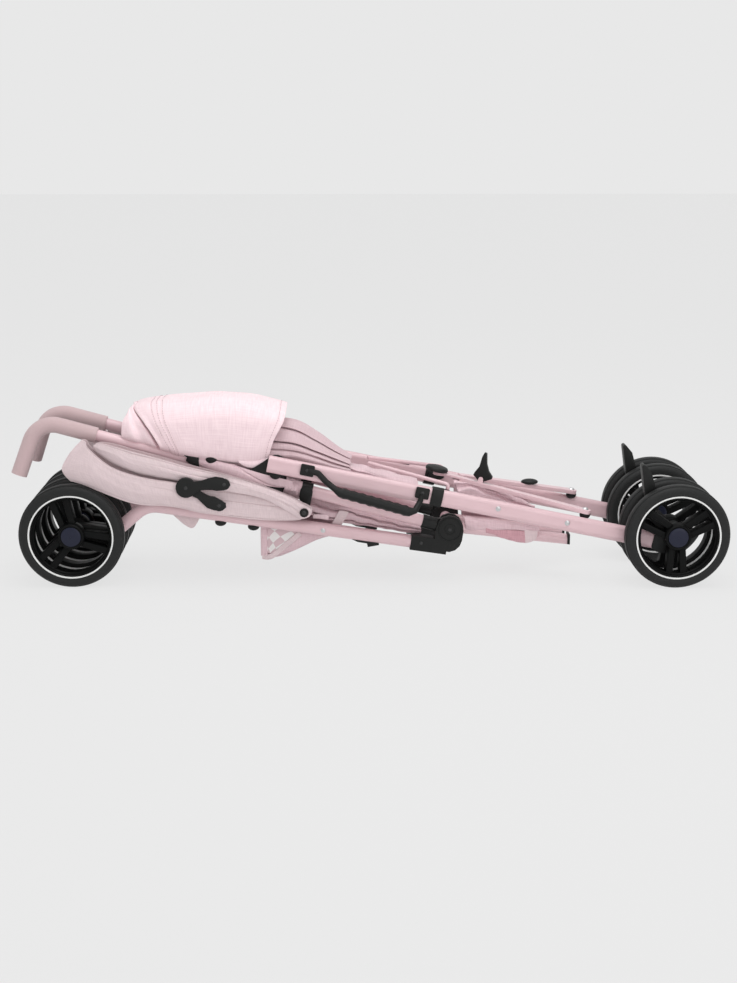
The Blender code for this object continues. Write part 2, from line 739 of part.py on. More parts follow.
# Carrying strap on the outer face of the right rear leg
def make_strap(leg):
    face = -(REAR_W / 2 + FIT)
    plates = []
    for u in (STRAP_U0, STRAP_U1):
        half_l, half_h = STRAP_PLATE_L / 2, STRAP_PLATE_H / 2
        r = 0.002
        corners = [(u + sx * (half_l - r), STRAP_N + sz * (half_h - r), r) for sx in (-1, 1) for sz in (-1, 1)]
        plates.append(prism(hull(*corners, steps=12), face, face - STRAP_PLATE_T))
    y_strap = face - STRAP_PLATE_T / 2 - 0.001
    y_grip = face - STRAP_REACH
    left = STRAP_U0 + 0.052
    right = STRAP_U1 - 0.014
    knots = [(STRAP_U0 + 0.002, y_strap, STRAP_N), (STRAP_U0 + 0.016, y_strap, STRAP_N - 0.001),
             (STRAP_U0 + 0.030, y_strap - 0.002, STRAP_N - 0.011),
             (left - 0.008, y_grip + 0.002, STRAP_N - STRAP_DROP0 + 0.003)]
    radii = [STRAP_R] * len(knots)
    steps = STRAP_RIBS * 2 + 1
    for i in range(steps):
        t = i / (steps - 1)
        drop = STRAP_DROP0 + (STRAP_DROP1 - STRAP_DROP0) * t
        knots.append((left + (right - left) * t, y_grip, STRAP_N - drop))
        radii.append(STRAP_GRIP_R * (1.0 if i % 2 else 0.86))
    knots += [(right + 0.008, y_grip + 0.002, STRAP_N - STRAP_DROP1 + 0.003),
              (STRAP_U1 - 0.001, y_strap - 0.001, STRAP_N - 0.013), (STRAP_U1, y_strap, STRAP_N - 0.002)]
    radii += [STRAP_R * 1.1, STRAP_R, STRAP_R * 0.9]
    strap = swept(knots, radii, 8)
    keep_out = bar([(-0.05, -0.08), (-0.05, 0.08), (0.05, 0.08), (0.05, -0.08)], -0.1, REAR_LEN)
    keep_out.transform(Matrix.Translation((0, face + 0.05, 0)))
    put("carry_handle", join(join(cut(strap, keep_out), plates[0]), plates[1]), BLACK, leg)


# Rails that hold the calf rest in front of the knees
def make_calf_rail(word, side, body):
    end = direction(RAIL_ANGLE) * RAIL_LEN
    y = side * RAIL_Y
    tube = swept([(-0.004, y, 0), (end.x, y, end.z)], RAIL_R)
    boss = rod(RAIL_R * 1.05, y, side * (FRONT_Y - KNEE_W / 2 - 0.001 - FIT), steps=20)
    put(f"calf_rail_{word}", join(tube, boss), PINK_PAINT, body, (KNEE_X, 0.0, KNEE_Z - 0.003))


def make_calf_rest(body):
    width = RAIL_Y - RAIL_R - FIT
    rings = []
    count = 7
    for i in range(count + 1):
        t = i / count
        u = CALF_START + CALF_LEN * t
        swell = math.sin(math.pi * (0.12 + 0.76 * t))
        fold = 0.0022 * math.sin(t * 19)
        ring = []
        for y, z in circle(1.0, 14):
            flat = math.copysign(abs(y) ** 0.45, y)
            ring.append((u, flat * width, z * CALF_H / 2 * swell + fold - 0.004))
        rings.append(ring)
    mesh = lofted(rings)
    mesh.transform(turn(RAIL_ANGLE))
    put("calf_rest", mesh, CLOTH, body, (KNEE_X, 0.0, KNEE_Z - 0.003))


# Canopy: clip on the handle tube, two cloth leaves on its stud, two folding stays
def make_canopy_clip(word, side, body):
    foot = on_handle(CLIP_AT)
    outer = HANDLE_R + FIT + COLLAR_WALL
    collar = bar([(y, z) for y, z in circle(outer, 14)], -COLLAR_LEN / 3, COLLAR_LEN / 3)
    dx, dz = foot.x - CANOPY_X, foot.z - CANOPY_Z
    collar = moved(collar, (dx, side * FRONT_Y, dz), HANDLE_ANGLE)
    arm_out = side * (FRONT_Y + HANDLE_R + ARM_REACH)
    arm = prism(hull((dx, dz, outer * 0.75), (0, 0, CANOPY_KNOB_R + 0.001)), side * FRONT_Y, arm_out)
    stud = rod(CANOPY_STUD_R, side * FRONT_Y, side * (LEAF_OUT + 0.002))
    cap = rod(CANOPY_KNOB_R, side * (LEAF_OUT + FIT), side * (LEAF_OUT + 0.0035), steps=12)
    line = moved(bar([(y, z) for y, z in circle(HANDLE_R + FIT, TUBE_SIDES)], -0.1, 0.1),
                 (dx, side * FRONT_Y, dz), HANDLE_ANGLE)
    shape = cut(join(join(join(collar, arm), stud), cap), line)
    put(f"canopy_clip_{word}", shape, BLACK, body, (CANOPY_X, 0.0, CANOPY_Z))


# Edges of the folded canopy leaves in mm, from the open rim to the fold, from the tip to the stud
UPPER_LEAF = [
    [(-394, 209), (-395, 207), (-395, 205), (-394, 202)],
    [(-386, 212), (-383, 206), (-380, 199), (-372, 185)],
    [(-366, 208), (-361, 199), (-355, 190), (-341, 172)],
    [(-343, 201), (-338, 190), (-330, 180), (-310, 164)],
    [(-303, 190), (-298, 180), (-292, 170), (-280, 158)],
    [(-263, 178), (-258, 169), (-254, 160), (-250, 148)],
    [(-209, 165), (-206, 158), (-204, 150), (-203, 143)],
    [(-155, 148), (-154, 143), (-154, 138), (-154, 132)],
    [(-115, 132), (-116, 127), (-117, 121), (-117, 112)],
    [(-96, 121), (-97, 116), (-98, 108), (-100, 101)],
    [(-86, 114), (-85, 112), (-85, 109), (-88, 104)],
]
LOWER_LEAF = [
    [(-412, 216), (-431, 196), (-442, 174), (-431, 158)],
    [(-406, 214), (-421, 194), (-429, 172), (-413, 153)],
    [(-401, 204), (-404, 188), (-401, 168), (-388, 142)],
    [(-372, 179), (-368, 165), (-362, 150), (-350, 127)],
    [(-339, 166), (-335, 153), (-330, 138), (-324, 122)],
    [(-308, 159), (-304, 147), (-301, 134), (-298, 121)],
    [(-277, 154), (-275, 142), (-273, 130), (-272, 117)],
    [(-247, 144), (-246, 133), (-245, 121), (-244, 110)],
    [(-204, 139), (-203, 127), (-202, 115), (-201, 103)],
    [(-156, 131), (-157, 121), (-158, 110), (-159, 98)],
    [(-117, 124), (-116, 116), (-114, 106), (-112, 97)],
    [(-98, 121), (-97, 114), (-96, 107), (-97, 100)],
    [(-86, 114), (-85, 112), (-85, 109), (-88, 104)],
]


def leaf_solid(edges, side, layer_at_stud):
    """Doubled leaf of cloth. Near the stud it keeps to one of two layers, so that both leaves share it."""
    clip_face = FRONT_Y + HANDLE_R + ARM_REACH + FIT
    outer = LEAF_OUT - FIT
    middle = (clip_face + outer) / 2
    rings = []
    for i, edge in enumerate(edges):
        stud_share = smooth((edge[0][0] - LEAF_SPLIT_FROM) / (LEAF_SPLIT_TO - LEAF_SPLIT_FROM))
        near = clip_face + ((middle + FIT - clip_face) * stud_share if layer_at_stud else 0.0)
        far = outer + ((middle - FIT - outer) * stud_share if not layer_at_stud else 0.0)
        slim = (far - near) * (0.30 if i == 0 else 0.16)
        rim, upper, lower, fold = edge
        shoulder = [rim[k] + (upper[k] - rim[k]) * 0.3 for k in (0, 1)]
        heel = [lower[k] + (fold[k] - lower[k]) * 0.75 for k in (0, 1)]
        half = [(rim, slim * 1.4), (shoulder, slim * 0.5), (upper, 0.0), (lower, 0.0), (heel, slim)]
        ring = [(x, far - inset, z) for (x, z), inset in half] + [(fold[0], (near + far) / 2, fold[1])]
        ring += [(x, near + inset, z) for (x, z), inset in reversed(half)]
        rings.append([(x * MM - CANOPY_X, side * y, z * MM - CANOPY_Z) for x, y, z in ring])
    return lofted(rings)


def make_leaves(word, side, body, front):
    eye = rod(CANOPY_STUD_R + RUNNING, side * 0.02, side * 0.12)
    upper = cut(leaf_solid(UPPER_LEAF, side, True), eye)
    put(f"canopy_rear_{word}", upper, CLOTH, body, (CANOPY_X, 0.0, CANOPY_Z))
    put(f"canopy_front_{word}", cut(leaf_solid(LOWER_LEAF, side, False), eye), CLOTH, front)


def waisted(length):
    """Outline of a stay: an oval lobe round its rivet, a slim neck and a round hub plate."""
    half = 9
    outline = []
    for i in range(half):
        a = math.pi / 2 + math.pi * i / (half - 1)
        outline.append((STAY_END_R * math.cos(a), STAY_END_R * math.sin(a)))
    outline.append((STAY_LOBE, -STAY_END_R))
    outline.append((STAY_LOBE + STAY_END_R * 0.7, -STAY_END_R * 0.72))
    outline.append((STAY_LOBE + STAY_END_R * 1.5, -STAY_NECK_R))
    for i in range(half * 2 - 1):
        a = -math.pi * 0.86 + math.pi * 1.72 * i / (half * 2 - 2)
        outline.append((length + STAY_HUB_R * math.cos(a), STAY_HUB_R * math.sin(a)))
    outline.append((STAY_LOBE + STAY_END_R * 1.5, STAY_NECK_R))
    outline.append((STAY_LOBE + STAY_END_R * 0.7, STAY_END_R * 0.72))
    outline.append((STAY_LOBE, STAY_END_R))
    return outline


def make_stay(name, frame, side, to_hub, layer):
    y0 = LEAF_OUT + FIT + layer * (STAY_T + FIT)
    length = to_hub.length
    outline = waisted(length)
    put(name, prism(outline, side * y0, side * (y0 + STAY_T)), BLACK, frame)


# Seat cloth: the hood folded over the handle tubes, the pleats that leave its hem, and what hangs between
# the tubes. Rows are in mm for the near half, from the underside to the middle of the top.
HOOD_ROWS = [
    [(-358, -44, 0), (-358, -56, 221), (-357, -53, 232), (-356, -48, 241), (-350, -34, 250), (-348, 0, 251)],
    [(-339, -44, 0), (-340, -52, 214), (-342, -50, 226), (-345, -44, 240), (-346, -31, 252), (-344, 0, 256)],
    [(-322, -46, 0), (-322, -62, 210), (-327, -62, 222), (-334, -54, 238), (-338, -34, 254), (-336, 0, 260)],
    [(-304, -44, 0), (-305, -53, 206), (-314, -52, 219), (-326, -47, 236), (-332, -33, 257), (-330, 0, 262)],
    [(-292, -46, 0), (-293, -61, 203), (-300, -62, 219), (-310, -58, 240), (-318, -36, 261), (-317, 0, 264)],
    [(-268, -48, 0), (-268, -62, 197), (-272, -65, 217), (-278, -61, 243), (-282, -39, 264), (-282, 0, 268)],
    [(-240, -50, 0), (-240, -62, 193), (-240, -66, 216), (-241, -62, 247), (-242, -40, 267), (-242, 0, 271)],
    [(-208, -50, 0), (-208, -62, 190), (-208, -66, 214), (-208, -62, 247), (-209, -40, 268), (-210, 0, 272)],
    [(-180, -46, 0), (-180, -55, 194), (-176, -65, 212), (-172, -62, 244), (-170, -40, 262), (-170, 0, 267)],
    [(-152, -46, 0), (-148, -54, 201), (-140, -65, 213), (-127, -59, 237), (-122, -40, 250), (-126, 0, 256)],
]
DRAPE_ROWS = [
    [(-156, -48, 180), (-118, -47, 176), (-86, -44, 168), (-58, -38, 160), (-26, -30, 153)],
    [(-156, -54, 191), (-112, -54, 188), (-82, -54, 180), (-56, -46, 171), (-28, -36, 162)],
    [(-156, -50, 198), (-112, -48, 194), (-82, -46, 184), (-56, -40, 173), (-30, -33, 163)],
    [(-156, -54, 206), (-112, -53, 200), (-82, -50, 188), (-56, -42, 177), (-30, -32, 166)],
    [(-156, -44, 210), (-113, -40, 203), (-84, -37, 191), (-58, -32, 178), (-32, -25, 166)],
    [(-156, -49, 221), (-110, -46, 211), (-80, -40, 195), (-52, -32, 180), (-28, -24, 169)],
    [(-156, -32, 222), (-110, -27, 212), (-82, -24, 199), (-56, -20, 185), (-30, -14, 171)],
    [(-156, -28, 233), (-110, -26, 223), (-80, -22, 206), (-52, -16, 188), (-28, -12, 175)],
    [(-156, 0, 236), (-108, 0, 231), (-76, 0, 214), (-48, 0, 193), (-26, 0, 178)],
]


def along_knots(knots, t):
    """Point of a smooth line through knots, t from 0 to 1."""
    last = len(knots) - 1
    place = min(max(t, 0.0), 1.0) * last
    i = min(int(place), last - 1)
    f = place - i
    a, b, c, d = (Vector(knots[min(max(j, 0), last)]) for j in (i - 1, i, i + 1, i + 2))
    return 0.5 * (2 * b + (c - a) * f + (2 * a - 5 * b + 4 * c - d) * f * f + (3 * b - a - 3 * c + d) * f ** 3)


def cloth_loft(stations, reach, stations_count, half_count):
    """Closed solid through near-half sections in mm, smoothed both ways and mirrored to the far side."""
    rings = []
    for i in range(stations_count + 1):
        u = i / stations_count
        section = [along_knots([station[k] for station in stations], u) for k in range(len(stations[0]))]
        half = [along_knots(section, k / half_count) * MM for k in range(half_count + 1)]
        near = [(p.x, max(p.y, -reach), p.z) for p in half]
        rings.append(near + [(x, -y, z) for x, y, z in reversed(near[:-1])])
    return lofted(rings)


def over_tubes(x):
    """Height in mm at which cloth lies on the handle tubes, or on the collars that go round them."""
    base = handle_z(x) + HANDLE_R / math.cos(math.radians(180 - HANDLE_ANGLE)) + FIT
    return (base + (COLLAR_WALL + 2 * FIT) * smooth((x - COLLARS_FROM) / SEAT_STEP)) / MM


def seat_cloth():
    hood = [[(x, y, z or over_tubes(x * MM)) for x, y, z in row] for row in HOOD_ROWS]
    stations = [[row[k] for row in DRAPE_ROWS] for k in range(len(DRAPE_ROWS[0]))]
    drape = cloth_loft(stations, SEAT_HALF_W, 8, len(DRAPE_ROWS) - 1)
    return join(cloth_loft(hood, HOOD_HALF_W, 18, 8), drape)


def hanging_cloth():
    left_x = -0.335
    right_x = 0.060
    width = SEAT_INNER_W - FIT
    rings = []
    count = 10
    for i in range(count + 1):
        t = i / count
        x = left_x + (right_x - left_x) * t
        high = handle_z(x) + HANDLE_R + 0.004 - 0.014 * smooth((t - 0.9) * 10)
        low = leg_z(x) + BASKET_LIFT + FIT + 0.014 * smooth(1 - t * 8)
        if t > 0.75:
            high = handle_z(x) - 0.002
            low = leg_z(x) + BASKET_LIFT + 0.002
        ring = []
        for a, b in circle(1.0, 12, start=math.pi / 12):
            flat_y = math.copysign(abs(a) ** 0.5, a)
            z = (high + low) / 2 + b * (high - low) / 2
            ring.append((x, flat_y * width * (1 - 0.12 * math.sin(t * 25 + b * 3) ** 2), z))
        rings.append(ring)
    return lofted(rings)


def make_seat(body):
    put("seat_cloth", join(seat_cloth(), hanging_cloth()), CLOTH, body)


def make_basket(body):
    """Folded basket held between the front legs, deepest at its front corner."""
    width = FRONT_Y - LEG_R - FIT
    depths = [(0.0, 0.98), (0.20, 1.0), (0.36, 0.83), (0.69, 0.44), (1.0, 0.26)]
    rings = []
    count = 9
    for i in range(count + 1):
        t = i / count
        x = BASKET_X + BASKET_LEN * t
        hang = BASKET_H * between(depths, t)
        level = leg_z(x)
        bulge = 1.0 - 0.10 * math.sin(t * 17) ** 2
        half = [(0.80, BASKET_LIFT), (1.0, 0.0), (bulge, -hang * 0.45), (0.86 * bulge, -hang * 0.80),
                (0.50, -hang)]
        ring = [(x, width * y, level + z) for y, z in half]
        ring += [(x, -width * y, level + z) for y, z in reversed(half)]
        rings.append(ring)
    put("basket", lofted(rings), CLOTH, body)


# Assembly
TYRE = tyre_mesh()
RIM = rim_mesh()

for word, side in SIDES:
    frame = STROLLER if side == RIGHT else empty("left_frame", STROLLER)
    make_handle(word, side, frame)
    make_knee_socket(word, side, frame)
    make_pivot_bracket(word, side, frame)
    make_calf_rail(word, side, frame)
    make_canopy_clip(word, side, frame)

    front = empty(f"canopy_axis_{word}", frame, (CANOPY_X, 0.0, CANOPY_Z))
    make_leaves(word, side, frame, front)
    hub = Vector((STAY_HUB_X, 0.0, STAY_HUB_Z))
    for part, x, z, layer, carrier, shift in (
        ("rear", STAY_REAR_X, STAY_REAR_Z, 1, frame, Vector((0, 0, 0))),
        ("front", STAY_FRONT_X, STAY_FRONT_Z, 0, front, Vector((CANOPY_X, 0, CANOPY_Z))),
    ):
        start = Vector((x, 0.0, z))
        reach = hub - start
        angle = math.degrees(math.atan2(reach.z, reach.x))
        stay_axis = empty(f"stay_axis_{part}_{word}", carrier, start - shift, angle)
        make_stay(f"stay_{part}_{word}", stay_axis, side, reach, layer)

    leg = empty(f"knee_axis_{word}", frame, (KNEE_X, side * FRONT_Y, KNEE_Z), LEG_ANGLE)
    leg_end = make_front_leg(word, side, leg)
    caster = empty(f"caster_axis_{word}", leg, leg_end, LEG_BEND)
    to_world = Matrix.Translation(KNEE) @ turn(LEG_ANGLE) @ Matrix.Translation(leg_end) @ turn(LEG_BEND)
    axle = to_world.inverted() @ FRONT_AXLE
    make_caster(word, caster, axle.x, axle.z)
    front_hub = empty(f"front_axle_{word}", caster, axle)
    for place, way in (("outer", side), ("inner", -side)):
        make_wheel(f"front_wheel_{word}_{place}", front_hub, way * WHEEL_Y, way, 107 - LEG_ANGLE - LEG_BEND,
                   TYRE, RIM)

    rear = empty(f"rear_axis_{word}", frame, (PIVOT_X, side * REAR_Y, PIVOT_Z), REAR_ANGLE)
    axle = turn(REAR_ANGLE).inverted() @ (REAR_AXLE - PIVOT)
    make_rear_leg(word, side, rear, axle)
    make_brake(word, rear, axle)
    make_sleeve(word, side, rear)
    rear_hub = empty(f"rear_axle_{word}", rear, axle)
    for place, way in (("outer", side), ("inner", -side)):
        make_wheel(f"rear_wheel_{word}_{place}", rear_hub, way * WHEEL_Y, way, 270 - REAR_ANGLE, TYRE, RIM)

    lock = empty(f"lock_axis_{word}", rear, (BAR_U, side * (BAR_Y - REAR_Y), BAR_LIFT))
    swing = math.asin(BAR_Y / BAR_LEN)
    lock.rotation_euler = (0.0, 0.0, math.pi + side * swing)
    make_lock_bar(word, lock, side == RIGHT)
    if side == RIGHT:
        make_knob(lock)
        make_pedal(lock)
        make_strap(rear)

make_calf_rest(STROLLER)
make_seat(STROLLER)
make_basket(STROLLER)
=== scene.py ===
"""Looks of a folded umbrella stroller that lies on its wheels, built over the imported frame."""

import math

import bmesh
import bpy
from mathutils import Matrix, Vector, noise


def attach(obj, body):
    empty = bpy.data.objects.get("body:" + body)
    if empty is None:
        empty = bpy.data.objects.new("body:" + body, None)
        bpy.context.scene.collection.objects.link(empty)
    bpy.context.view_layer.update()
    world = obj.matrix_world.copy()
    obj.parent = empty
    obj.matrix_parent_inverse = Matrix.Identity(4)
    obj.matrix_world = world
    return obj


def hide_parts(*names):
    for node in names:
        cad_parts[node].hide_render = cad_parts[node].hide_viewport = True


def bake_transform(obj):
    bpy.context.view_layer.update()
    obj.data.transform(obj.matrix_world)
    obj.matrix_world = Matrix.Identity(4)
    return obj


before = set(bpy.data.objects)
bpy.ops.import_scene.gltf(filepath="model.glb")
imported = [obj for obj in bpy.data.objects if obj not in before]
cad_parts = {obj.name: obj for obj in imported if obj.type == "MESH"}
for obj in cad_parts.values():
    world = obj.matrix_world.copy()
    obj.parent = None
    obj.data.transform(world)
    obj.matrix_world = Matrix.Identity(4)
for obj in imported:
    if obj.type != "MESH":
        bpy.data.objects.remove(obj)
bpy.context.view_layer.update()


# Studio
# A seamless pale sweep lit by one broad soft box overhead, a soft fill from the front
# and an even sky, so that colours come out about as they are written.
def wired(tree, kind, inputs=None, **settings):
    """A shader node with its settings, each input linked to a socket or set to a value."""
    made = tree.nodes.new(kind)
    for key, value in settings.items():
        setattr(made, key, value)
    for key, value in (inputs or {}).items():
        if isinstance(value, bpy.types.NodeSocket):
            tree.links.new(value, made.inputs[key])
        else:
            made.inputs[key].default_value = value
    return made


def softbox(name, at, aim, size, watts):
    """A square area lamp that looks at a point."""
    bpy.ops.object.light_add(type="AREA", location=at)
    lamp = bpy.context.object
    lamp.name = name
    lamp.data.size = size
    lamp.data.energy = watts
    lamp.rotation_euler = (Vector(aim) - Vector(at)).to_track_quat("-Z", "Y").to_euler()


SKY_STRENGTH = 0.66
world = bpy.data.worlds.new("sky")
bpy.context.scene.world = world
world.use_nodes = True
sky = world.node_tree.nodes["Background"]
sky.inputs["Color"].default_value = (1.0, 1.0, 1.0, 1.0)
sky.inputs["Strength"].default_value = SKY_STRENGTH
bpy.context.scene.view_settings.view_transform = "Standard"
softbox("overhead", (0.12, -0.35, 2.1), (0.0, 0.0, 0.1), 1.7, 25.0)
softbox("front_fill", (1.0, -2.2, 0.9), (0.0, 0.0, 0.12), 1.6, 8.6)

BACKDROP_GREY = (0.807, 0.807, 0.807, 1.0)
PAPER_GREY = (0.86, 0.86, 0.86, 1.0)


def paper_finish(name, glowing):
    """Matt paper that shows the camera and reflections an even grey, by a share."""
    made = bpy.data.materials.new(name)
    made.use_nodes = True
    tree = made.node_tree
    paper = tree.nodes["Principled BSDF"]
    paper.inputs["Base Color"].default_value = PAPER_GREY
    paper.inputs["Roughness"].default_value = 1.0
    glow = wired(tree, "ShaderNodeEmission", {"Color": BACKDROP_GREY})
    rays = wired(tree, "ShaderNodeLightPath")
    seen = wired(tree, "ShaderNodeMath",
                 {0: rays.outputs["Is Camera Ray"], 1: rays.outputs["Is Glossy Ray"]}, operation="MAXIMUM")
    either = wired(tree, "ShaderNodeMath",
                   {0: seen.outputs["Value"], 1: rays.outputs["Is Transmission Ray"]}, operation="MAXIMUM")
    share = wired(tree, "ShaderNodeMath", {0: either.outputs["Value"], 1: glowing}, operation="MULTIPLY")
    mixed = wired(tree, "ShaderNodeMixShader",
                  {"Fac": share.outputs["Value"], 1: paper.outputs["BSDF"], 2: glow.outputs["Emission"]})
    tree.links.new(mixed.outputs["Shader"], tree.nodes["Material Output"].inputs["Surface"])
    return made


for name, finish, size, at, tip in (
    ("floor", paper_finish("ground", 0.9), 30.0, (0.0, 8.0, 0.0), 0.0),
    ("backdrop_wall", paper_finish("backdrop", 1.0), 40.0, (0.0, 16.0, 10.0), math.pi / 2),
):
    bpy.ops.mesh.primitive_plane_add(size=size, location=at, rotation=(tip, 0, 0))
    plane = bpy.context.object
    plane.name = name
    plane.data.materials.append(finish)

# The camera stands level with the photograph's: a little above the stroller and square to its side.
AZIMUTH = math.radians(-1.45)
ELEVATION = math.radians(13.22)
TARGET = Vector((-0.0015, 0.0, 0.12239))
DISTANCE = 2.2433
LENS = 54.934
SENSOR = 36.0
back = Vector((math.sin(AZIMUTH) * math.cos(ELEVATION), -math.cos(AZIMUTH) * math.cos(ELEVATION),
               math.sin(ELEVATION)))
bpy.ops.object.camera_add(location=TARGET + back * DISTANCE)
camera = bpy.context.object
camera.rotation_euler = (-back).to_track_quat("-Z", "Y").to_euler()
camera.data.lens = LENS
camera.data.sensor_width = SENSOR
bpy.context.scene.camera = camera


def new_finish(name, slot, colour, roughness, **more):
    """A material with its node tree and its Principled shader; the slot argument is not used."""
    made = bpy.data.materials.new(name)
    made.use_nodes = True
    shader = made.node_tree.nodes["Principled BSDF"]
    shader.inputs["Base Color"].default_value = (*colour, 1.0)
    shader.inputs["Roughness"].default_value = roughness
    for key, value in more.items():
        shader.inputs[key.replace("_", " ")].default_value = value
    return made, made.node_tree, shader


def grain(tree, shader, scale, strength, distance, detail=3.0):
    """A noise bump on Object coordinates; returns the noise node."""
    where = wired(tree, "ShaderNodeTexCoord")
    cells = wired(tree, "ShaderNodeTexNoise",
                  {"Vector": where.outputs["Object"], "Scale": scale, "Detail": detail})
    bump = wired(tree, "ShaderNodeBump",
                 {"Strength": strength, "Distance": distance, "Height": cells.outputs["Fac"]})
    tree.links.new(bump.outputs["Normal"], shader.inputs["Normal"])
    return cells


def two_tone(tree, shader, factor, dark, light, low=0.3, high=0.7):
    """Colour that drifts between two tones as a factor goes from low to high."""
    ramp = wired(tree, "ShaderNodeValToRGB", {"Fac": factor})
    for stop, place, tone in zip(ramp.color_ramp.elements, (low, high), (dark, light)):
        stop.position = place
        stop.color = (*tone, 1.0)
    tree.links.new(ramp.outputs["Color"], shader.inputs["Base Color"])


def cast(name, slot, colour, roughness, relief, tones=None, **more):
    """A finish with a fine relief, given as grain() takes it, that may drift between two tones with it."""
    made, tree, shader = new_finish(name, slot, colour, roughness, **more)
    cells = grain(tree, shader, *relief)
    if tones:
        two_tone(tree, shader, cells.outputs["Fac"], *tones)
    return made


paint, tree, shader = new_finish("powder_pink", "frame_paint", (0.72, 0.505, 0.538), 0.36,
                                 Coat_Weight=0.25, Coat_Roughness=0.25)
grain(tree, shader, 900.0, 0.1, 0.0003)
cloud = wired(tree, "ShaderNodeTexNoise", {"Scale": 14.0})
two_tone(tree, shader, cloud.outputs["Fac"], (0.705, 0.492, 0.524), (0.738, 0.522, 0.556))

CENTRE_X = -0.0015
SIDES = (("right", -1), ("left", 1))
frames = {"right": "root", "left": "left_frame"}


def direction(angle):
    """Unit vector in the XZ plane, from an angle in degrees."""
    return Vector((math.cos(math.radians(angle)), 0.0, math.sin(math.radians(angle))))


def bent(corners, radius, steps=12):
    """A line through corners, with each bend an arc of that radius."""
    points = [Vector(corners[0])]
    for before, corner, after in zip(corners, corners[1:], corners[2:]):
        corner = Vector(corner)
        inward = (Vector(before) - corner).normalized()
        onward = (Vector(after) - corner).normalized()
        half = inward.angle(onward) / 2
        centre = corner + (inward + onward).normalized() * (radius / math.sin(half))
        arm = corner + inward * (radius / math.tan(half)) - centre
        axis = inward.cross(onward)
        for i in range(steps + 1):
            points.append(centre + Matrix.Rotation(-(math.pi - 2 * half) * i / steps, 3, axis) @ arm)
    points.append(Vector(corners[-1]))
    return points


def take(piece):
    """Makes a piece the one that is selected."""
    bpy.ops.object.select_all(action="DESELECT")
    piece.select_set(True)
    bpy.context.view_layer.objects.active = piece


def linked(name, data):
    """A new object in the scene for a mesh or a curve, selected alone."""
    made = bpy.data.objects.new(name, data)
    bpy.context.collection.objects.link(made)
    take(made)
    return made


def drawn(lines, radius, resolution, caps=False):
    """Round strands drawn along lists of points, as one mesh object."""
    curve = bpy.data.curves.new("run", "CURVE")
    curve.dimensions = "3D"
    curve.bevel_depth = radius
    curve.bevel_resolution = resolution
    curve.use_fill_caps = caps
    for points in lines:
        spline = curve.splines.new("POLY")
        spline.points.add(len(points) - 1)
        for knot, point in zip(spline.points, points):
            knot.co = (*point, 1.0)
    linked("run", curve)
    bpy.ops.object.convert(target="MESH")
    return bpy.context.object


def applied(piece, kind, **values):
    """Adds a modifier with its values and applies it."""
    take(piece)
    step = piece.modifiers.new("step", kind)
    for key, value in values.items():
        setattr(step, key, value)
    bpy.ops.object.modifier_apply(modifier=step.name)
    return piece


def settle(piece, name, body, finish, replaced=(), angle=35.0):
    """Names a finished piece, bakes its place into its mesh, and hangs it on its body."""
    take(piece)
    bpy.ops.object.transform_apply(location=True, rotation=True, scale=True)
    bpy.ops.object.shade_smooth_by_angle(angle=math.radians(angle))
    piece.name = name
    piece.data.name = name
    piece.data.materials.clear()
    piece.data.materials.append(finish)
    if body:
        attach(piece, body)
    if replaced:
        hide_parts(*replaced)
    return piece


KNEE = Vector((0.1182 + CENTRE_X, 0.0, 0.0775))
HANDLE_ANGLE = 164.57
HANDLE_Y = 0.046
HANDLE_R = 0.0088
HANDLE_LEN = 0.618
HANDLE_START = 0.0235
HOOK_ANGLE = 250.0
HOOK_LEN = 0.084
HOOK_OUT = 0.012
HOOK_BEND_R = 0.034


def handle_line(side, trim=0.0):
    """Centre line of a handle tube, from just past the knee to the hooked end."""
    along = direction(HANDLE_ANGLE)
    first = KNEE + along * HANDLE_START
    corner = KNEE + along * HANDLE_LEN
    first.y = corner.y = side * HANDLE_Y
    reach = direction(HOOK_ANGLE) * HOOK_LEN + Vector((0.0, side * HOOK_OUT, 0.0))
    return bent([first, corner, corner + reach * (1 - trim / HOOK_LEN)], HOOK_BEND_R, 16)


for word, side in SIDES:
    tube = drawn([handle_line(side, 0.004)], HANDLE_R, 8, True)
    settle(tube, f"handle_pipe_{word}", frames[word], paint, [f"handle_tube_{word}"])

LEG_ANGLE = 171.53
LEG_DROP = direction(LEG_ANGLE + 90) * 0.028
LEG_START = 0.028
LEG_CORNER = 0.4441
LEG_END_LEN = 0.058
LEG_BEND = 48.8
LEG_BEND_R = 0.04
LEG_R = 0.0095
for word, side in SIDES:
    start = KNEE + LEG_DROP + direction(LEG_ANGLE) * LEG_START
    corner = KNEE + LEG_DROP + direction(LEG_ANGLE) * LEG_CORNER
    end = corner + direction(LEG_ANGLE + LEG_BEND) * LEG_END_LEN
    for point in (start, corner, end):
        point.y = side * HANDLE_Y
    tube = drawn([bent([start, corner, end], LEG_BEND_R, 14)], LEG_R, 8, True)
    settle(tube, f"front_leg_pipe_{word}", f"leg_{word}", paint, [f"front_leg_{word}"])

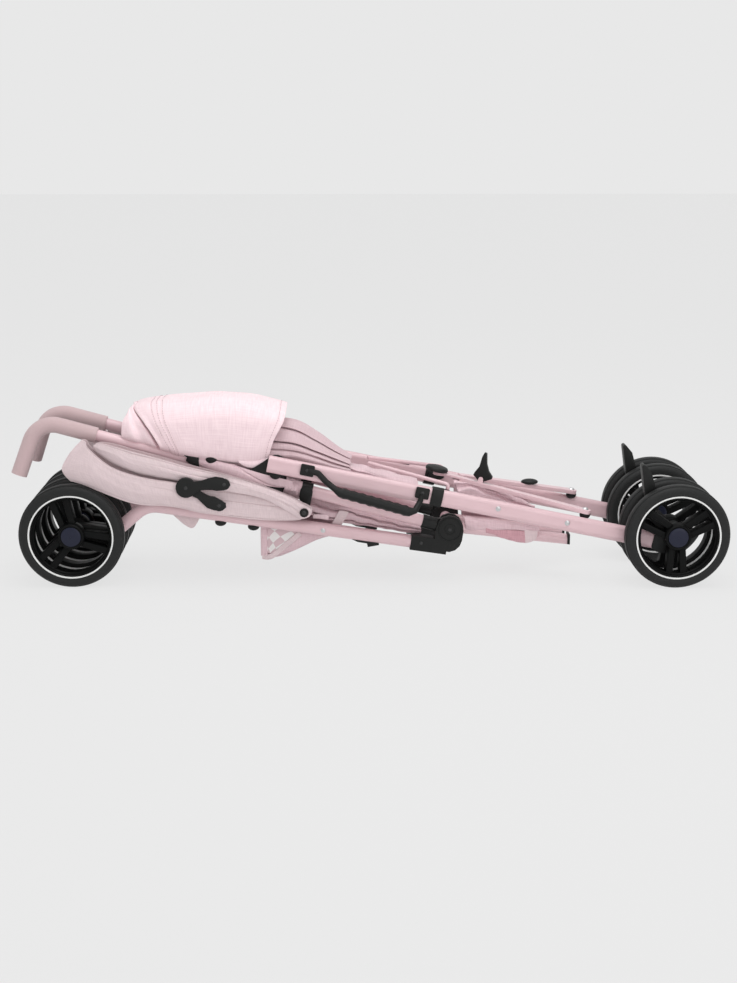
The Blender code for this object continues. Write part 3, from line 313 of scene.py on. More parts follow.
PIVOT = Vector((-0.135 + CENTRE_X, 0.0, 0.1791))
REAR_ANGLE = -11.81
REAR_Y = 0.072
REAR_LEN = 0.587
REAR_MIDDLE = 0.2815
REAR_R = 0.007
REAR_FLAT = 0.0055
ALONG = direction(REAR_ANGLE)
ACROSS = direction(REAR_ANGLE + 90)
REAR_AXES = Matrix((ACROSS, (0.0, 1.0, 0.0), ALONG)).transposed().to_4x4()
for word, side in SIDES:
    bpy.ops.mesh.primitive_cylinder_add(vertices=48, radius=REAR_R, depth=REAR_LEN)
    tube = bpy.context.object
    bpy.ops.object.mode_set(mode="EDIT")
    bpy.ops.mesh.select_all(action="SELECT")
    bpy.ops.mesh.bevel(offset=0.0012, segments=3, affect="EDGES")
    bpy.ops.object.mode_set(mode="OBJECT")
    for vert in tube.data.vertices:
        vert.co.x += math.copysign(REAR_FLAT, vert.co.x)
    middle = PIVOT + ALONG * REAR_MIDDLE
    middle.y = side * REAR_Y
    tube.matrix_world = Matrix.Translation(middle) @ REAR_AXES
    settle(tube, f"rear_leg_oval_{word}", f"rear_{word}", paint, [f"rear_leg_{word}"])


# Foam grips
# Slit foam sleeves pulled over the hooked ends of the handles: dusty rose, matt, with fine closed cells
# and a rounded lip at each end.
foam = cast("rose_foam", "grip_foam", (0.55, 0.4, 0.41), 0.78, (1500.0, 0.3, 0.0004, 5.0),
            ((0.5, 0.362, 0.37), (0.575, 0.425, 0.434)), Sheen_Weight=0.25, Sheen_Roughness=0.6)

GRIP_R = 0.0115
GRIP_START = 0.531
GRIP_SHORT = 0.001


def rounded(piece, width, segments, angle):
    """Bevels the edges of a piece that turn by more than an angle in degrees."""
    return applied(piece, "BEVEL", width=width, segments=segments, limit_method="ANGLE",
                   angle_limit=math.radians(angle))


for word, side in SIDES:
    line = handle_line(side)
    line[0] = KNEE + direction(HANDLE_ANGLE) * GRIP_START
    line[0].y = side * HANDLE_Y
    line[-1] -= (line[-1] - line[-2]).normalized() * GRIP_SHORT
    grip = drawn([line], GRIP_R, 12, True)
    rounded(grip, 0.0026, 4, 60)
    settle(grip, f"foam_grip_{word}", frames[word], foam, [f"handle_grip_{word}"])


# Black mouldings
# Glass-filled nylon, satin black with a fine spark-eroded grain and softened edges: knee joints, sockets,
# clips, brackets, forks, brake levers, pedal and knob.
nylon = cast("black_nylon", "black_plastic", (0.01, 0.0105, 0.01), 0.46, (1300.0, 0.22, 0.0003),
             ((0.0075, 0.008, 0.0078), (0.013, 0.0135, 0.013)), Specular_IOR_Level=0.26)


def body_of(stem, word):
    """The body of one side that a name's stem stands for."""
    return frames[word] if stem == "frame" else f"{stem}_{word}"


def soft_edged(node, width, name, body, finish=nylon):
    """A CAD piece with its edges rounded off."""
    piece = linked(name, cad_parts[node].data.copy())
    bpy.ops.object.mode_set(mode="EDIT")
    bpy.ops.mesh.select_all(action="SELECT")
    bpy.ops.mesh.remove_doubles(threshold=0.00002)
    bpy.ops.mesh.dissolve_limited(angle_limit=math.radians(2.0))
    bpy.ops.object.mode_set(mode="OBJECT")
    rounded(piece, width, 3, 28)
    return settle(piece, name, body, finish, [node], 40.0)


for word in frames:
    for node, width, name, stem, *finish in (
        ("knee_socket", 0.0012, "knee_sleeve", "frame"),
        ("knee_housing", 0.0012, "knee_shell", "leg"),
        ("pivot_bracket", 0.001, "pivot_clamp", "frame"),
        ("canopy_clip", 0.0008, "canopy_clamp", "frame"),
        ("caster_fork", 0.0015, "caster_arm", "caster"),
        ("rear_bracket", 0.0012, "axle_housing", "rear"),
        ("brake_lever", 0.001, "brake_paddle", "brake"),
        ("leg_sleeve", 0.0007, "leg_collar", "rear"),
        ("stay_rear", 0.0008, "stay_upper", "stay_rear"),
        ("stay_front", 0.0008, "stay_lower", "stay_front"),
        ("lock_bar", 0.0008, "cross_bar", "lock", paint),
        ("calf_rail", 0.0008, "calf_tube", "frame", paint),
        ("back_rod", 0.0004, "thin_rod", "rear", paint),
    ):
        soft_edged(f"{node}_{word}", width, f"{name}_{word}", body_of(stem, word), *finish)
soft_edged("hub_knob", 0.0006, "lock_knob", "lock_right")
soft_edged("foot_pedal", 0.001, "fold_pedal", "pedal")
soft_edged("carry_handle", 0.0008, "carry_strap", "rear_right")


# Wheels
# Eight alike: a solid dark rubber tyre with a flat tread and stepped shoulders, a white line where it meets
# the rim, and a dull black rim with three split arms and a round cap over the axle.
rubber = cast("tyre_rubber", "tyre", (0.014, 0.0145, 0.0145), 0.6, (700.0, 0.25, 0.0003, 5.0),
              ((0.011, 0.0115, 0.0115), (0.019, 0.0195, 0.0195)), Specular_IOR_Level=0.3)
rim_black = cast("rim_black", "black_plastic", (0.0045, 0.0047, 0.0047), 0.42, (260.0, 0.05, 0.0002),
                 Specular_IOR_Level=0.1)
white = cast("rim_line", "black_plastic", (0.8, 0.8, 0.79), 0.4, (600.0, 0.05, 0.0002))
navy = cast("cap_navy", "black_plastic", (0.01, 0.012, 0.03), 0.34, (500.0, 0.06, 0.0002),
            Specular_IOR_Level=0.3)

WHEEL_R = 0.076
BEAD_R = 0.0604
ARM_START = 0.0155
ARM_END = 0.0575
AXLE_SPREAD = 0.024


def turned(profile, steps=96):
    """A closed profile of (radius, y) spun round the Y axis."""
    mesh = bpy.data.meshes.new("turned")
    count = len(profile)
    mesh.from_pydata([(r, y, 0.0) for r, y in profile], [(i, (i + 1) % count) for i in range(count)], [])
    made = linked("turned", mesh)
    bpy.ops.object.mode_set(mode="EDIT")
    bpy.ops.mesh.select_all(action="SELECT")
    bpy.ops.mesh.spin(steps=steps, angle=2 * math.pi, center=(0, 0, 0), axis=(0, 1, 0))
    bpy.ops.mesh.select_all(action="SELECT")
    bpy.ops.mesh.remove_doubles(threshold=0.00001)
    bpy.ops.mesh.normals_make_consistent(inside=False)
    bpy.ops.object.mode_set(mode="OBJECT")
    return made


def slab(outline, y0, y1, bevel=0.0):
    """An outline in XZ pulled out along Y, with bevelled edges."""
    bm = bmesh.new()
    face = bm.faces.new([bm.verts.new((x, y0, z)) for x, z in outline])
    grown = bmesh.ops.extrude_face_region(bm, geom=[face])
    for item in grown["geom"]:
        if isinstance(item, bmesh.types.BMVert):
            item.co.y = y1
    bmesh.ops.recalc_face_normals(bm, faces=bm.faces)
    mesh = bpy.data.meshes.new("slab")
    bm.to_mesh(mesh)
    bm.free()
    made = linked("slab", mesh)
    if bevel:
        rounded(made, bevel, 2, 30)
    return made


def outward(side):
    """Turns a piece made for the right side (-Y) to face outwards on either side."""
    return Matrix.Rotation(math.pi if side > 0 else 0.0, 4, "Z")


def merged(pieces):
    """Several objects joined into the first."""
    take(pieces[0])
    for piece in pieces:
        piece.select_set(True)
    bpy.ops.object.join()
    return pieces[0]


tread = [(BEAD_R, 0.0118), (0.0622, 0.012), (0.0636, 0.0124), (0.0655, 0.01285), (0.069, 0.013),
         (0.0716, 0.0123), (0.0736, 0.0108), (0.0744, 0.009), (0.0742, 0.0082), (0.0742, 0.007),
         (0.0756, 0.0066), (WHEEL_R, 0.006), (WHEEL_R, 0.0)]
tyre_model = turned(tread + [(r, -y) for r, y in reversed(tread)])
barrel = turned([(0.054, -0.006), (0.056, -0.0072), (0.0564, -0.0106), (0.0574, -0.0116),
                 (0.0588, -0.0118), (BEAD_R, -0.01), (BEAD_R, 0.01), (0.0588, 0.0118), (0.0574, 0.0116),
                 (0.054, 0.0104)])
arms = []
for arm in range(3):
    spin = Matrix.Rotation(-2 * math.pi * arm / 3, 4, "Y")
    for way in (-1, 1):
        outline = [(ARM_START, way * 0.012), (ARM_START, way * 0.003), (ARM_END, way * 0.0054),
                   (ARM_END, way * 0.016)]
        spoke = slab(outline, -0.0068, 0.0098, 0.0012)
        for vert in spoke.data.vertices:
            reach = (vert.co.x - ARM_START) / (ARM_END - ARM_START)
            vert.co.y += 0.003 * reach * (1 - reach) * 4 if vert.co.y < 0 else 0.0
        spoke.data.transform(spin)
        arms.append(spoke)
    bridge = slab([(0.0535, -0.005), (ARM_END, -0.005), (ARM_END, 0.005), (0.0535, 0.005)], -0.0015, 0.0048)
    bridge.data.transform(spin)
    arms.append(bridge)
hub = turned([(0.0005, -0.01), (0.0146, -0.01), (0.0158, -0.0112), (0.0176, -0.0112), (0.0188, -0.01),
              (0.0196, -0.005), (0.0196, 0.005), (0.0165, 0.0116), (0.0005, 0.0116)], 64)
rim_model = merged([barrel, hub] + arms)
rounded(rim_model, 0.0004, 1, 50)
line_model = merged([turned([(0.0593, side * 0.011), (0.0615, side * 0.0116), (0.0616, side * 0.0124),
                             (0.0594, side * 0.0122)]) for side in (-1, 1)])
cap_model = turned([(0.0004, -0.0116), (0.01, -0.0115), (0.0135, -0.0111), (0.0143, -0.0106),
                    (0.0145, -0.0095), (0.0004, -0.0095)], 64)
models = ((tyre_model, "tread", rubber, "tyre"), (rim_model, "arms", rim_black, "rim"),
          (line_model, "line", white, None), (cap_model, "cap", navy, None))

for end, axle_x, middle, tilt in (("front", -0.432, HANDLE_Y, 107.0), ("rear", 0.4445, REAR_Y, 270.0)):
    for word, side in SIDES:
        for place, way in (("outer", side), ("inner", -side)):
            body = f"{end}_wheel_{word}_{place}"
            at = Matrix.Translation((axle_x + CENTRE_X, side * middle + way * AXLE_SPREAD, WHEEL_R))
            spun = Matrix.Rotation(-math.radians(tilt if way < 0 else 180 - tilt), 4, "Y")
            for model, kind, finish, node in models:
                piece = linked("wheel", model.data.copy())
                piece.matrix_world = at @ outward(way) @ spun
                settle(piece, f"{body}_{kind}", body, finish, [body.replace("wheel", node)] if node else ())
for model in (tyre_model, rim_model, line_model, cap_model):
    bpy.data.objects.remove(model)


# Linen
# The sewn cloth is a heathered pink linen weave. Each piece is a grid whose UV map is in metres, so that the
# threads keep their size, bent to its folds by rows of points that a smooth line runs through.
THREAD = 0.0007
SLUB = 45.0
SLUB_ACROSS = 900.0


def linen_finish(name, dark, light):
    """Heathered linen whose threads drift between two tones, woven on a UV map in metres."""
    made, tree, shader = new_finish(name, "cloth", light, 0.88, Sheen_Weight=0.18, Sheen_Roughness=0.5)
    uv = wired(tree, "ShaderNodeUVMap").outputs["UV"]
    waves, streaks = {}, {}
    for i, (way, scale) in enumerate((("X", (SLUB, SLUB_ACROSS, 1.0)), ("Y", (SLUB_ACROSS, SLUB, 1.0)))):
        wave = wired(tree, "ShaderNodeTexWave", {"Vector": uv, "Scale": 0.314 / THREAD, "Distortion": 1.2,
                                                 "Detail": 1.0}, bands_direction=way)
        slub = wired(tree, "ShaderNodeMapping", {"Vector": uv, "Scale": scale})
        streak = wired(tree, "ShaderNodeTexNoise",
                       {"Vector": slub.outputs["Vector"], "Scale": 1.0, "Detail": 3.0})
        waves[i] = wave.outputs["Fac"]
        streaks[i] = streak.outputs["Fac"]
    crossing = wired(tree, "ShaderNodeMath", waves, operation="MAXIMUM")
    heather = wired(tree, "ShaderNodeMath", streaks, operation="ADD")
    halved = wired(tree, "ShaderNodeMath", {0: heather.outputs["Value"], 1: 0.5}, operation="MULTIPLY")
    two_tone(tree, shader, halved.outputs["Value"], dark, light, 0.36, 0.62)
    weave = wired(tree, "ShaderNodeBump",
                  {"Strength": 0.35, "Distance": 0.0002, "Height": crossing.outputs["Value"]})
    tree.links.new(weave.outputs["Normal"], shader.inputs["Normal"])
    return made


linen = linen_finish("hood_linen", (0.85, 0.65, 0.69), (0.965, 0.775, 0.805))
leaf_linen = linen_finish("canopy_linen", (0.66, 0.53, 0.548), (0.77, 0.632, 0.648))
seat_linen = linen_finish("seat_linen", (0.65, 0.468, 0.505), (0.77, 0.58, 0.618))
# The drape's linen is the seat's linen made darker: painted shade for the folds that hang under the hood.
drape_linen_painted_shade = linen_finish("drape_linen_painted_shade", (0.555, 0.398, 0.425), (0.655, 0.492, 0.522))

MM = 0.001


def through(knots, t):
    """Point of a smooth line through knots, t from 0 to 1."""
    last = len(knots) - 1
    place = min(max(t, 0.0), 1.0) * last
    i = min(int(place), last - 1)
    f = place - i
    a, b, c, d = (Vector(knots[min(max(j, 0), last)]) for j in (i - 1, i, i + 1, i + 2))
    return 0.5 * (2 * b + (c - a) * f + (2 * a - 5 * b + 4 * c - d) * f * f
                  + (3 * b - a - 3 * c + d) * f ** 3)


def cloth_form(rows, wrinkle=None):
    """surface(u, v) through rows of points in mm that run along u, one after the other along v."""
    def surface(u, v):
        point = through([through(row, u) for row in rows], v) * MM
        return point + wrinkle(u, v, point) if wrinkle else point
    return surface


def closed_round(rows):
    """Rows of (x, outwards, z) for the right half, and their mirror image up to the last row."""
    rows = [list(row) for row in rows]
    return [[(x, -y, z) for x, y, z in row] for row in rows] + rows[-2::-1]


def flat_size(surface, steps=24):
    """Greatest lengths of cloth along u and along v, in metres."""
    def run(line):
        points = [line(i / steps) for i in range(steps + 1)]
        return sum((b - a).length for a, b in zip(points, points[1:]))
    places = (0.1, 0.3, 0.5, 0.7, 0.9)
    return (max(run(lambda t, v=v: surface(t, v)) for v in places),
            max(run(lambda t, u=u: surface(u, t)) for u in places))


def sewn(name, form, cells, body, finish=seat_linen, replaced=(), thick=0.001,
         turned_out=False):
    """Cloth bent to a form, with its thickness, hung on its body, its UV map stretched to its flat size.

    With no body it spans both sides and hangs on nothing; its place is baked into its mesh."""
    size = flat_size(form)
    bpy.ops.mesh.primitive_grid_add(x_subdivisions=cells[0], y_subdivisions=cells[1], size=1.0,
                                    calc_uvs=True)
    piece = bpy.context.object
    for loop in piece.data.uv_layers.active.data:
        loop.uv = (loop.uv[0] * size[0], loop.uv[1] * size[1])
    for vert in piece.data.vertices:
        vert.co = form(vert.co.x + 0.5, vert.co.y + 0.5)
    if turned_out:
        piece.data.flip_normals()
    applied(piece, "SOLIDIFY", thickness=thick, offset=-1.0, use_even_offset=False)
    applied(piece, "SUBSURF", levels=1, render_levels=1)
    settle(piece, name, body, finish, replaced, 60.0)
    if not body:
        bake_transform(piece)
    return piece


# Hood
# The folded hood is one big panel over the handle tubes, from the pleats that a stay pulls up at its left
# end to a turned hem at its right, with a double seam between them. From here on, cloth is drawn for one
# side by points of (x, outwards, z) in mm.
HOOD_NEAR = [
    [(-358, 44, 206), (-359, 52, 216), (-359, 51, 228), (-357, 46, 241), (-351, 33, 251), (-349, 0, 252)],
    [(-343, 44, 204), (-342, 57, 214), (-345, 57, 227), (-348, 50, 241), (-350, 32, 254), (-348, 0, 255)],
    [(-330, 44, 200), (-329, 53, 210), (-335, 52, 225), (-342, 46, 241), (-348, 30, 254), (-346, 0, 257)],
    [(-314, 44, 197), (-312, 57, 206), (-320, 55, 223), (-332, 48, 240), (-344, 29, 255), (-343, 0, 258)],
    [(-308, 43, 196), (-307, 49, 205), (-316, 45, 221), (-329, 38, 237), (-342, 25, 252), (-341, 0, 258)],
    [(-306, 44, 195), (-304, 60, 204), (-313, 61, 221), (-326, 55, 239), (-341, 32, 256), (-339, 0, 260)],
    [(-299, 46, 191), (-298, 60, 203), (-306, 61, 220), (-318, 56, 241), (-330, 36, 260), (-327, 0, 263)],
    [(-291, 46, 189), (-290, 61, 201), (-298, 63, 218), (-310, 59, 243), (-317, 37, 262), (-316, 0, 265)],
    [(-281, 48, 186), (-280, 62, 198), (-288, 64, 217), (-300, 60, 244), (-305, 38, 263), (-306, 0, 266)],
    [(-254, 50, 182), (-254, 63, 194), (-257, 66, 217), (-261, 62, 247), (-262, 40, 266), (-262, 0, 269)],
    [(-214, 50, 178), (-214, 63, 188), (-214, 68, 214), (-214, 63, 250), (-215, 40, 268), (-216, 0, 271)],
    [(-178, 50, 176), (-177, 62, 184), (-174, 67, 211), (-169, 63, 247), (-167, 40, 263), (-168, 0, 267)],
    [(-150, 50, 180), (-147, 60, 187), (-140, 65, 212), (-126, 60, 238), (-122, 40, 251), (-121, 0, 256)],
]
HOOD_SEAMS = (7 / 12, 8 / 12)
HOOD_CORE_Z = 0.2
SEAM_DIP = 0.0008
SEAM_SPREAD = 0.006


def hood_core(point):
    """The place inside the hood that a point of its cloth faces away from."""
    return Vector((point.x, 0.0, HOOD_CORE_Z))


def ripple(u, v, point):
    """Slow uneven swell of cloth, less at the edges, and the dips that seams draw."""
    at = point * 22.0
    lift = noise.noise(at) * 0.002 + noise.noise(at * 2.7) * 0.0008
    dip = sum(SEAM_DIP * math.exp(-(((u - seam) / SEAM_SPREAD) ** 2)) for seam in HOOD_SEAMS)
    swell = Vector((0.0, math.copysign(1.0, point.y) * lift * 0.8, lift))
    return swell * min(1.0, 6 * (1 - u), 6 * v, 6 * (1 - v)) + (hood_core(point) - point).normalized() * dip


thread = cast("sewing_thread", "cloth", (0.56, 0.4, 0.43), 0.7, (2000.0, 0.2, 0.0002))
STITCH = 0.0026
STITCH_GAP = 0.0012
TRACK_STEPS = 400
THREAD_R = 0.00036
THREAD_LIFT = 0.0003


def stitches(name, form, tracks, body, core):
    """Topstitching: short threads along straight (u, v) tracks of a form, on its side away from a core."""
    runs = []
    for (u0, v0), (u1, v1) in tracks:
        way, run, last = 0.0, [], None
        for i in range(TRACK_STEPS + 1):
            f = i / TRACK_STEPS
            point = form(u0 + (u1 - u0) * f, v0 + (v1 - v0) * f)
            way += (point - last).length if last else 0.0
            last = point
            if way % (STITCH + STITCH_GAP) < STITCH:
                run.append(point + (point - core(point)).normalized() * THREAD_LIFT)
            else:
                runs += [run] if len(run) > 1 else []
                run = []
    return settle(drawn(runs, THREAD_R, 1), name, body, thread)


hood_form = cloth_form(closed_round(zip(*HOOD_NEAR)), ripple)
sewn("hood_panel", hood_form, (144, 72), None, linen, ["seat_cloth"], 0.0012)
rows_of_thread = (HOOD_SEAMS[0], HOOD_SEAMS[1] - 0.012, HOOD_SEAMS[1] + 0.012, 0.978)
hood_thread = stitches("hood_thread", hood_form, [((at, 0.04), (at, 0.96)) for at in rows_of_thread], None,
                       hood_core)
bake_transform(hood_thread)


# Drape
# From under the hood's hem the seat cloth runs down in sharp pleats to where the tubes cross. Its valleys
# and ridges are lines of their own, so the folds fan out of the hem and close up at the far end.
DRAPE_NEAR = [
    [(-152, 50, 180), (-118, 47, 176), (-86, 44, 168), (-58, 38, 160), (-26, 30, 153)],
    [(-152, 60, 190), (-112, 57, 187), (-82, 54, 179), (-56, 46, 170), (-28, 36, 161)],
    [(-152, 58, 197), (-112, 55, 193), (-82, 52, 184), (-56, 45, 173), (-28, 36, 163)],
    [(-152, 53, 200), (-112, 50, 196), (-82, 46, 186), (-56, 38, 175), (-29, 29, 165)],
    [(-152, 57, 201), (-112, 54, 197), (-82, 50, 188), (-56, 43, 177), (-28, 33, 166)],
    [(-152, 55, 208), (-112, 51, 203), (-82, 47, 191), (-56, 40, 179), (-28, 30, 167)],
    [(-152, 43, 210), (-112, 39, 205), (-82, 36, 193), (-56, 30, 181), (-29, 22, 168)],
    [(-152, 52, 212), (-112, 49, 207), (-82, 44, 195), (-54, 36, 182), (-28, 26, 169)],
    [(-152, 46, 222), (-110, 43, 214), (-80, 37, 199), (-52, 29, 184), (-28, 21, 171)],
    [(-152, 40, 228), (-110, 36, 219), (-80, 31, 203), (-52, 24, 186), (-28, 17, 173)],
    [(-152, 28, 230), (-110, 24, 221), (-80, 20, 205), (-54, 15, 188), (-29, 10, 174)],
    [(-152, 34, 233), (-110, 30, 224), (-80, 25, 207), (-52, 18, 189), (-28, 12, 175)],
    [(-152, 16, 236), (-108, 13, 229), (-76, 11, 211), (-50, 9, 191), (-26, 6, 177)],
    [(-152, 0, 237), (-108, 0, 232), (-76, 0, 214), (-48, 0, 193), (-26, 0, 178)],
]
# Its darker linen is painted shade.
sewn("seat_drape", cloth_form(closed_round(DRAPE_NEAR)), (44, 208), None, drape_linen_painted_shade,
     thick=0.0012)


# Canopy leaves
# Each side of the canopy hangs folded from its stud as two leaves. A leaf is one sheet doubled over a fold,
# with its open edges hemmed. The upper leaf has pleats that run out of the stud.
UPPER_LEAF = [
    [(-396, 209), (-397, 207), (-397, 205), (-396, 202)],
    [(-387, 213), (-385, 206), (-381, 199), (-373, 185)],
    [(-367, 209), (-362, 199), (-356, 190), (-342, 171)],
    [(-344, 202), (-339, 190), (-331, 180), (-311, 163)],
    [(-304, 191), (-299, 180), (-293, 170), (-281, 157)],
    [(-264, 179), (-259, 169), (-255, 160), (-251, 147)],
    [(-210, 166), (-207, 158), (-205, 150), (-204, 142)],
    [(-156, 149), (-155, 143), (-155, 138), (-155, 131)],
    [(-116, 133), (-117, 127), (-118, 121), (-118, 111)],
    [(-97, 122), (-98, 116), (-99, 108), (-101, 101)],
    [(-87, 115), (-86, 112), (-86, 109), (-89, 104)],
]
LOWER_LEAF = [
    [(-413, 217), (-432, 196), (-443, 174), (-432, 157)],
    [(-407, 215), (-422, 194), (-430, 172), (-414, 152)],
    [(-402, 205), (-405, 188), (-402, 168), (-389, 141)],
    [(-373, 180), (-369, 165), (-363, 150), (-351, 126)],
    [(-340, 167), (-336, 153), (-331, 138), (-325, 121)],
    [(-309, 160), (-305, 147), (-302, 134), (-299, 120)],
    [(-278, 155), (-276, 142), (-274, 130), (-273, 116)],
    [(-248, 145), (-247, 133), (-246, 121), (-245, 109)],
    [(-205, 140), (-204, 127), (-203, 115), (-202, 102)],
    [(-157, 132), (-158, 121), (-159, 110), (-160, 97)],
    [(-118, 124), (-117, 116), (-115, 106), (-113, 96)],
    [(-99, 121), (-98, 114), (-97, 107), (-98, 99)],
    [(-88, 115), (-86, 112), (-86, 109), (-90, 103)],
]
LEAF_OUT = 79.2
LEAF_IN = 61.0
LEAF_MID = 70.1
LEAF_APART = 0.6
OVERLAP_AT = -255
OVERLAP_RUN = 47
CREASE_SPREAD = 0.01


def leaf_surface(outline, side, creases, drawn_in, over):
    """A doubled sheet: down the outside from its open edge, round the fold and up the inside.

    Creases list where they start along u, their v there and at the stud, and their depth in mm."""
    count = len(outline) - 1
    rows = []
    for k in range(7):
        row = []
        for i, edge in enumerate(outline):
            share = min(1.0, max(0.0, (edge[0][0] - OVERLAP_AT) / OVERLAP_RUN))
            end = max(0.0, 1 - i / 2.0) * drawn_in[0] + max(0.0, i - count + 1) * drawn_in[1]
            outer = LEAF_OUT - end + (0.0 if over else (LEAF_MID - LEAF_APART - LEAF_OUT) * share)
            inner = LEAF_IN + end * 0.6 + ((LEAF_MID + LEAF_APART - LEAF_IN) * share if over else 0.0)
            x, z = edge[k] if k < 4 else edge[6 - k]
            w = (outer - 1.5, outer, outer, (outer + inner) / 2, inner, inner, inner + 1.0)[k]
            row.append((x + (0.7 if k > 3 else 0.0), side * w, z))
        rows.append(row)

    def swell_of(u, v, point):
        """The creases and the slow swell of the outer layer."""
        if v >= 0.5:
            return Vector((0.0, 0.0, 0.0))
        depth = 0.0
        for start, v0, v1, deep in creases:
            fade = min(1.0, max(0.0, (u - start) * 5.0))
            middle = v0 + (v1 - v0) * (u - start) / (1 - start)
            depth += deep * fade * math.exp(-(((v - middle) / CREASE_SPREAD) ** 2))
        swell = noise.noise(Vector((u * 9.0, v * 7.0, side))) * 1.1
        swell += noise.noise(Vector((u * 24.0, v * 9.0, side))) * 0.4
        swell *= min(1.0, 10 * v, 10 * (0.5 - v), 5 * (1 - u))
        return Vector((0.0, side * (swell - depth) * MM, 0.0))
    return cloth_form(rows, swell_of)


for word, side in SIDES:
    for name, node, outline, stem, creases, drawn_in, tracks in (
        ("canopy_upper", "canopy_rear", UPPER_LEAF, "frame",
         ((0.0, 0.05, 0.07, 2.2), (0.3, 0.2, 0.22, 2.0), (0.58, 0.33, 0.34, 2.4)), (9.0, 1.0),
         (((0.03, 0.02), (0.97, 0.02)),)),
        ("canopy_lower", "canopy_front", LOWER_LEAF, "canopy",
         ((0.0, 0.03, 0.03, 1.0), (0.0, 0.455, 0.455, 1.6), (0.35, 0.16, 0.2, 1.2)), (8.0, 1.0),
         (((0.03, 0.475), (0.97, 0.475)), ((0.03, 0.43), (0.97, 0.43)), ((0.035, 0.03), (0.035, 0.42)),
          ((0.06, 0.03), (0.06, 0.42)))),
    ):
        body = body_of(stem, word)
        form = leaf_surface(outline, side, creases, drawn_in, name == "canopy_upper")
        sewn(f"{name}_{word}", form, (100, 104), body, leaf_linen,
             [f"{node}_{word}"], math.copysign(0.001, -side))
        stitches(f"{name}_thread_{word}", form, tracks, body, lambda p: Vector((p.x, 0.0, p.z)))


# Seat sleeves
# The seat's edges are sleeves round the handle tubes, slack and wrinkled between the hood and the knob, and
# gathered in rings at their lower end.
SLEEVE_START = 0.226
SLEEVE_END = 0.372
SLACK = 1.5
GATHERED = 0.5
RINGS = 13
RINGS_AT = 0.12
RINGS_REACH = 0.36
SLEEVE_CLEAR = 1.6


def sleeve_surface(side):
    """A tube of cloth round a handle tube, with drag lines."""
    along = direction(HANDLE_ANGLE)
    upward = direction(HANDLE_ANGLE - 90)

    def surface(u, v):
        turn = 2 * math.pi * v
        folds = noise.noise(Vector((u * 7, math.cos(turn), math.sin(turn))))
        drag = math.sin(3 * turn + 9 * u) * 0.5 + folds * 1.6
        near = min(1.0, max(0.0, 3 * (RINGS_REACH - abs(u - RINGS_AT))))
        gathers = GATHERED * math.sin(2 * math.pi * RINGS * u) * near
        slack = SLACK * (0.6 + 0.5 * drag) * min(1.0, 8 * (1 - u))
        r = HANDLE_R + (SLEEVE_CLEAR + slack + gathers) * MM
        point = KNEE + along * (SLEEVE_START + (SLEEVE_END - SLEEVE_START) * u)
        point += upward * (r * math.sin(turn))
        point.y = side * HANDLE_Y + side * r * math.cos(turn)
        return point
    return surface


for word, side in SIDES:
    sewn(f"seat_sleeve_{word}", sleeve_surface(side), (90, 48), frames[word],
         turned_out=side < 0)


# Seat cloth between the tubes
# Below the knob the seat's front edge hangs crumpled between the handle tubes and the front legs, with a
# strap and a tape sewn to each side.
def patch(name, word, rows, cells, finish=seat_linen, wrinkle=None, stem="frame"):
    """A sewn piece of one side, its rows in the order that faces the cloth outwards."""
    side = dict(SIDES)[word]
    rows = [[(x, side * y, z) for x, y, z in row] for row in (rows if side > 0 else rows[::-1])]
    sewn(f"{name}_{word}", cloth_form(rows, wrinkle), cells, body_of(stem, word), finish)


def crumple(size, scale):
    """Small uneven folds."""
    def wrinkle(u, v, point):
        folds = (noise.noise(point * scale), noise.noise(point * scale * 1.3 + Vector((5, 5, 5))))
        return Vector((0.0, *folds)) * size
    return wrinkle


STRAP_RIPPLE = 0.0005


def strap_wave(u, v, point):
    """The ripple of a slack strap."""
    return Vector((0.0, math.copysign(STRAP_RIPPLE, point.y) * math.sin(40 * v), 0.0))


SLING_NEAR = [
    [(-92, 0, 94), (-60, 0, 86), (-30, 0, 81), (0, 0, 76), (35, 0, 70), (76, 0, 66)],
    [(-92, 28, 94), (-60, 28, 86), (-30, 28, 81), (0, 28, 76), (35, 28, 70), (76, 26, 66)],
    [(-92, 35, 98), (-60, 36, 89), (-30, 36, 84), (0, 36, 79), (35, 36, 71), (76, 33, 67)],
    [(-92, 29, 101), (-60, 29, 91), (-30, 30, 86), (0, 30, 80), (35, 30, 73), (76, 28, 68)],
    [(-92, 35, 104), (-60, 36, 93), (-30, 36, 87), (0, 36, 82), (35, 36, 75), (76, 34, 69)],
    [(-92, 36, 112), (-60, 36, 101), (-30, 37, 96), (0, 37, 88), (35, 37, 79), (76, 34, 70)],
    [(-92, 28, 115), (-60, 28, 104), (-30, 29, 98), (0, 30, 90), (35, 30, 81), (76, 28, 71)],
    [(-92, 34, 117), (-60, 35, 106), (-30, 35, 100), (0, 35, 92), (35, 35, 83), (76, 32, 72)],
    [(-92, 0, 121), (-60, 0, 108), (-30, 0, 102), (0, 0, 95), (35, 0, 85), (76, 0, 73)],
]
ROLL_NEAR = [
    [(-46, 0, 156), (0, 0, 143), (36, 0, 134), (72, 0, 126)],
    [(-46, 20, 156), (0, 20, 143), (36, 20, 134), (72, 18, 126)],
    [(-46, 26, 161), (0, 26, 148), (36, 26, 139), (72, 23, 130)],
    [(-46, 21, 164), (0, 21, 151), (36, 21, 142), (72, 19, 133)],
    [(-46, 25, 168), (0, 25, 155), (36, 25, 146), (72, 22, 137)],
    [(-46, 0, 171), (0, 0, 158), (36, 0, 148), (72, 0, 139)],
]
sewn("seat_sling", cloth_form(closed_round(SLING_NEAR), crumple(0.0026, 55.0)), (70, 96), None)
sewn("seat_roll", cloth_form(closed_round(ROLL_NEAR), crumple(0.0024, 45.0)), (60, 64), None)
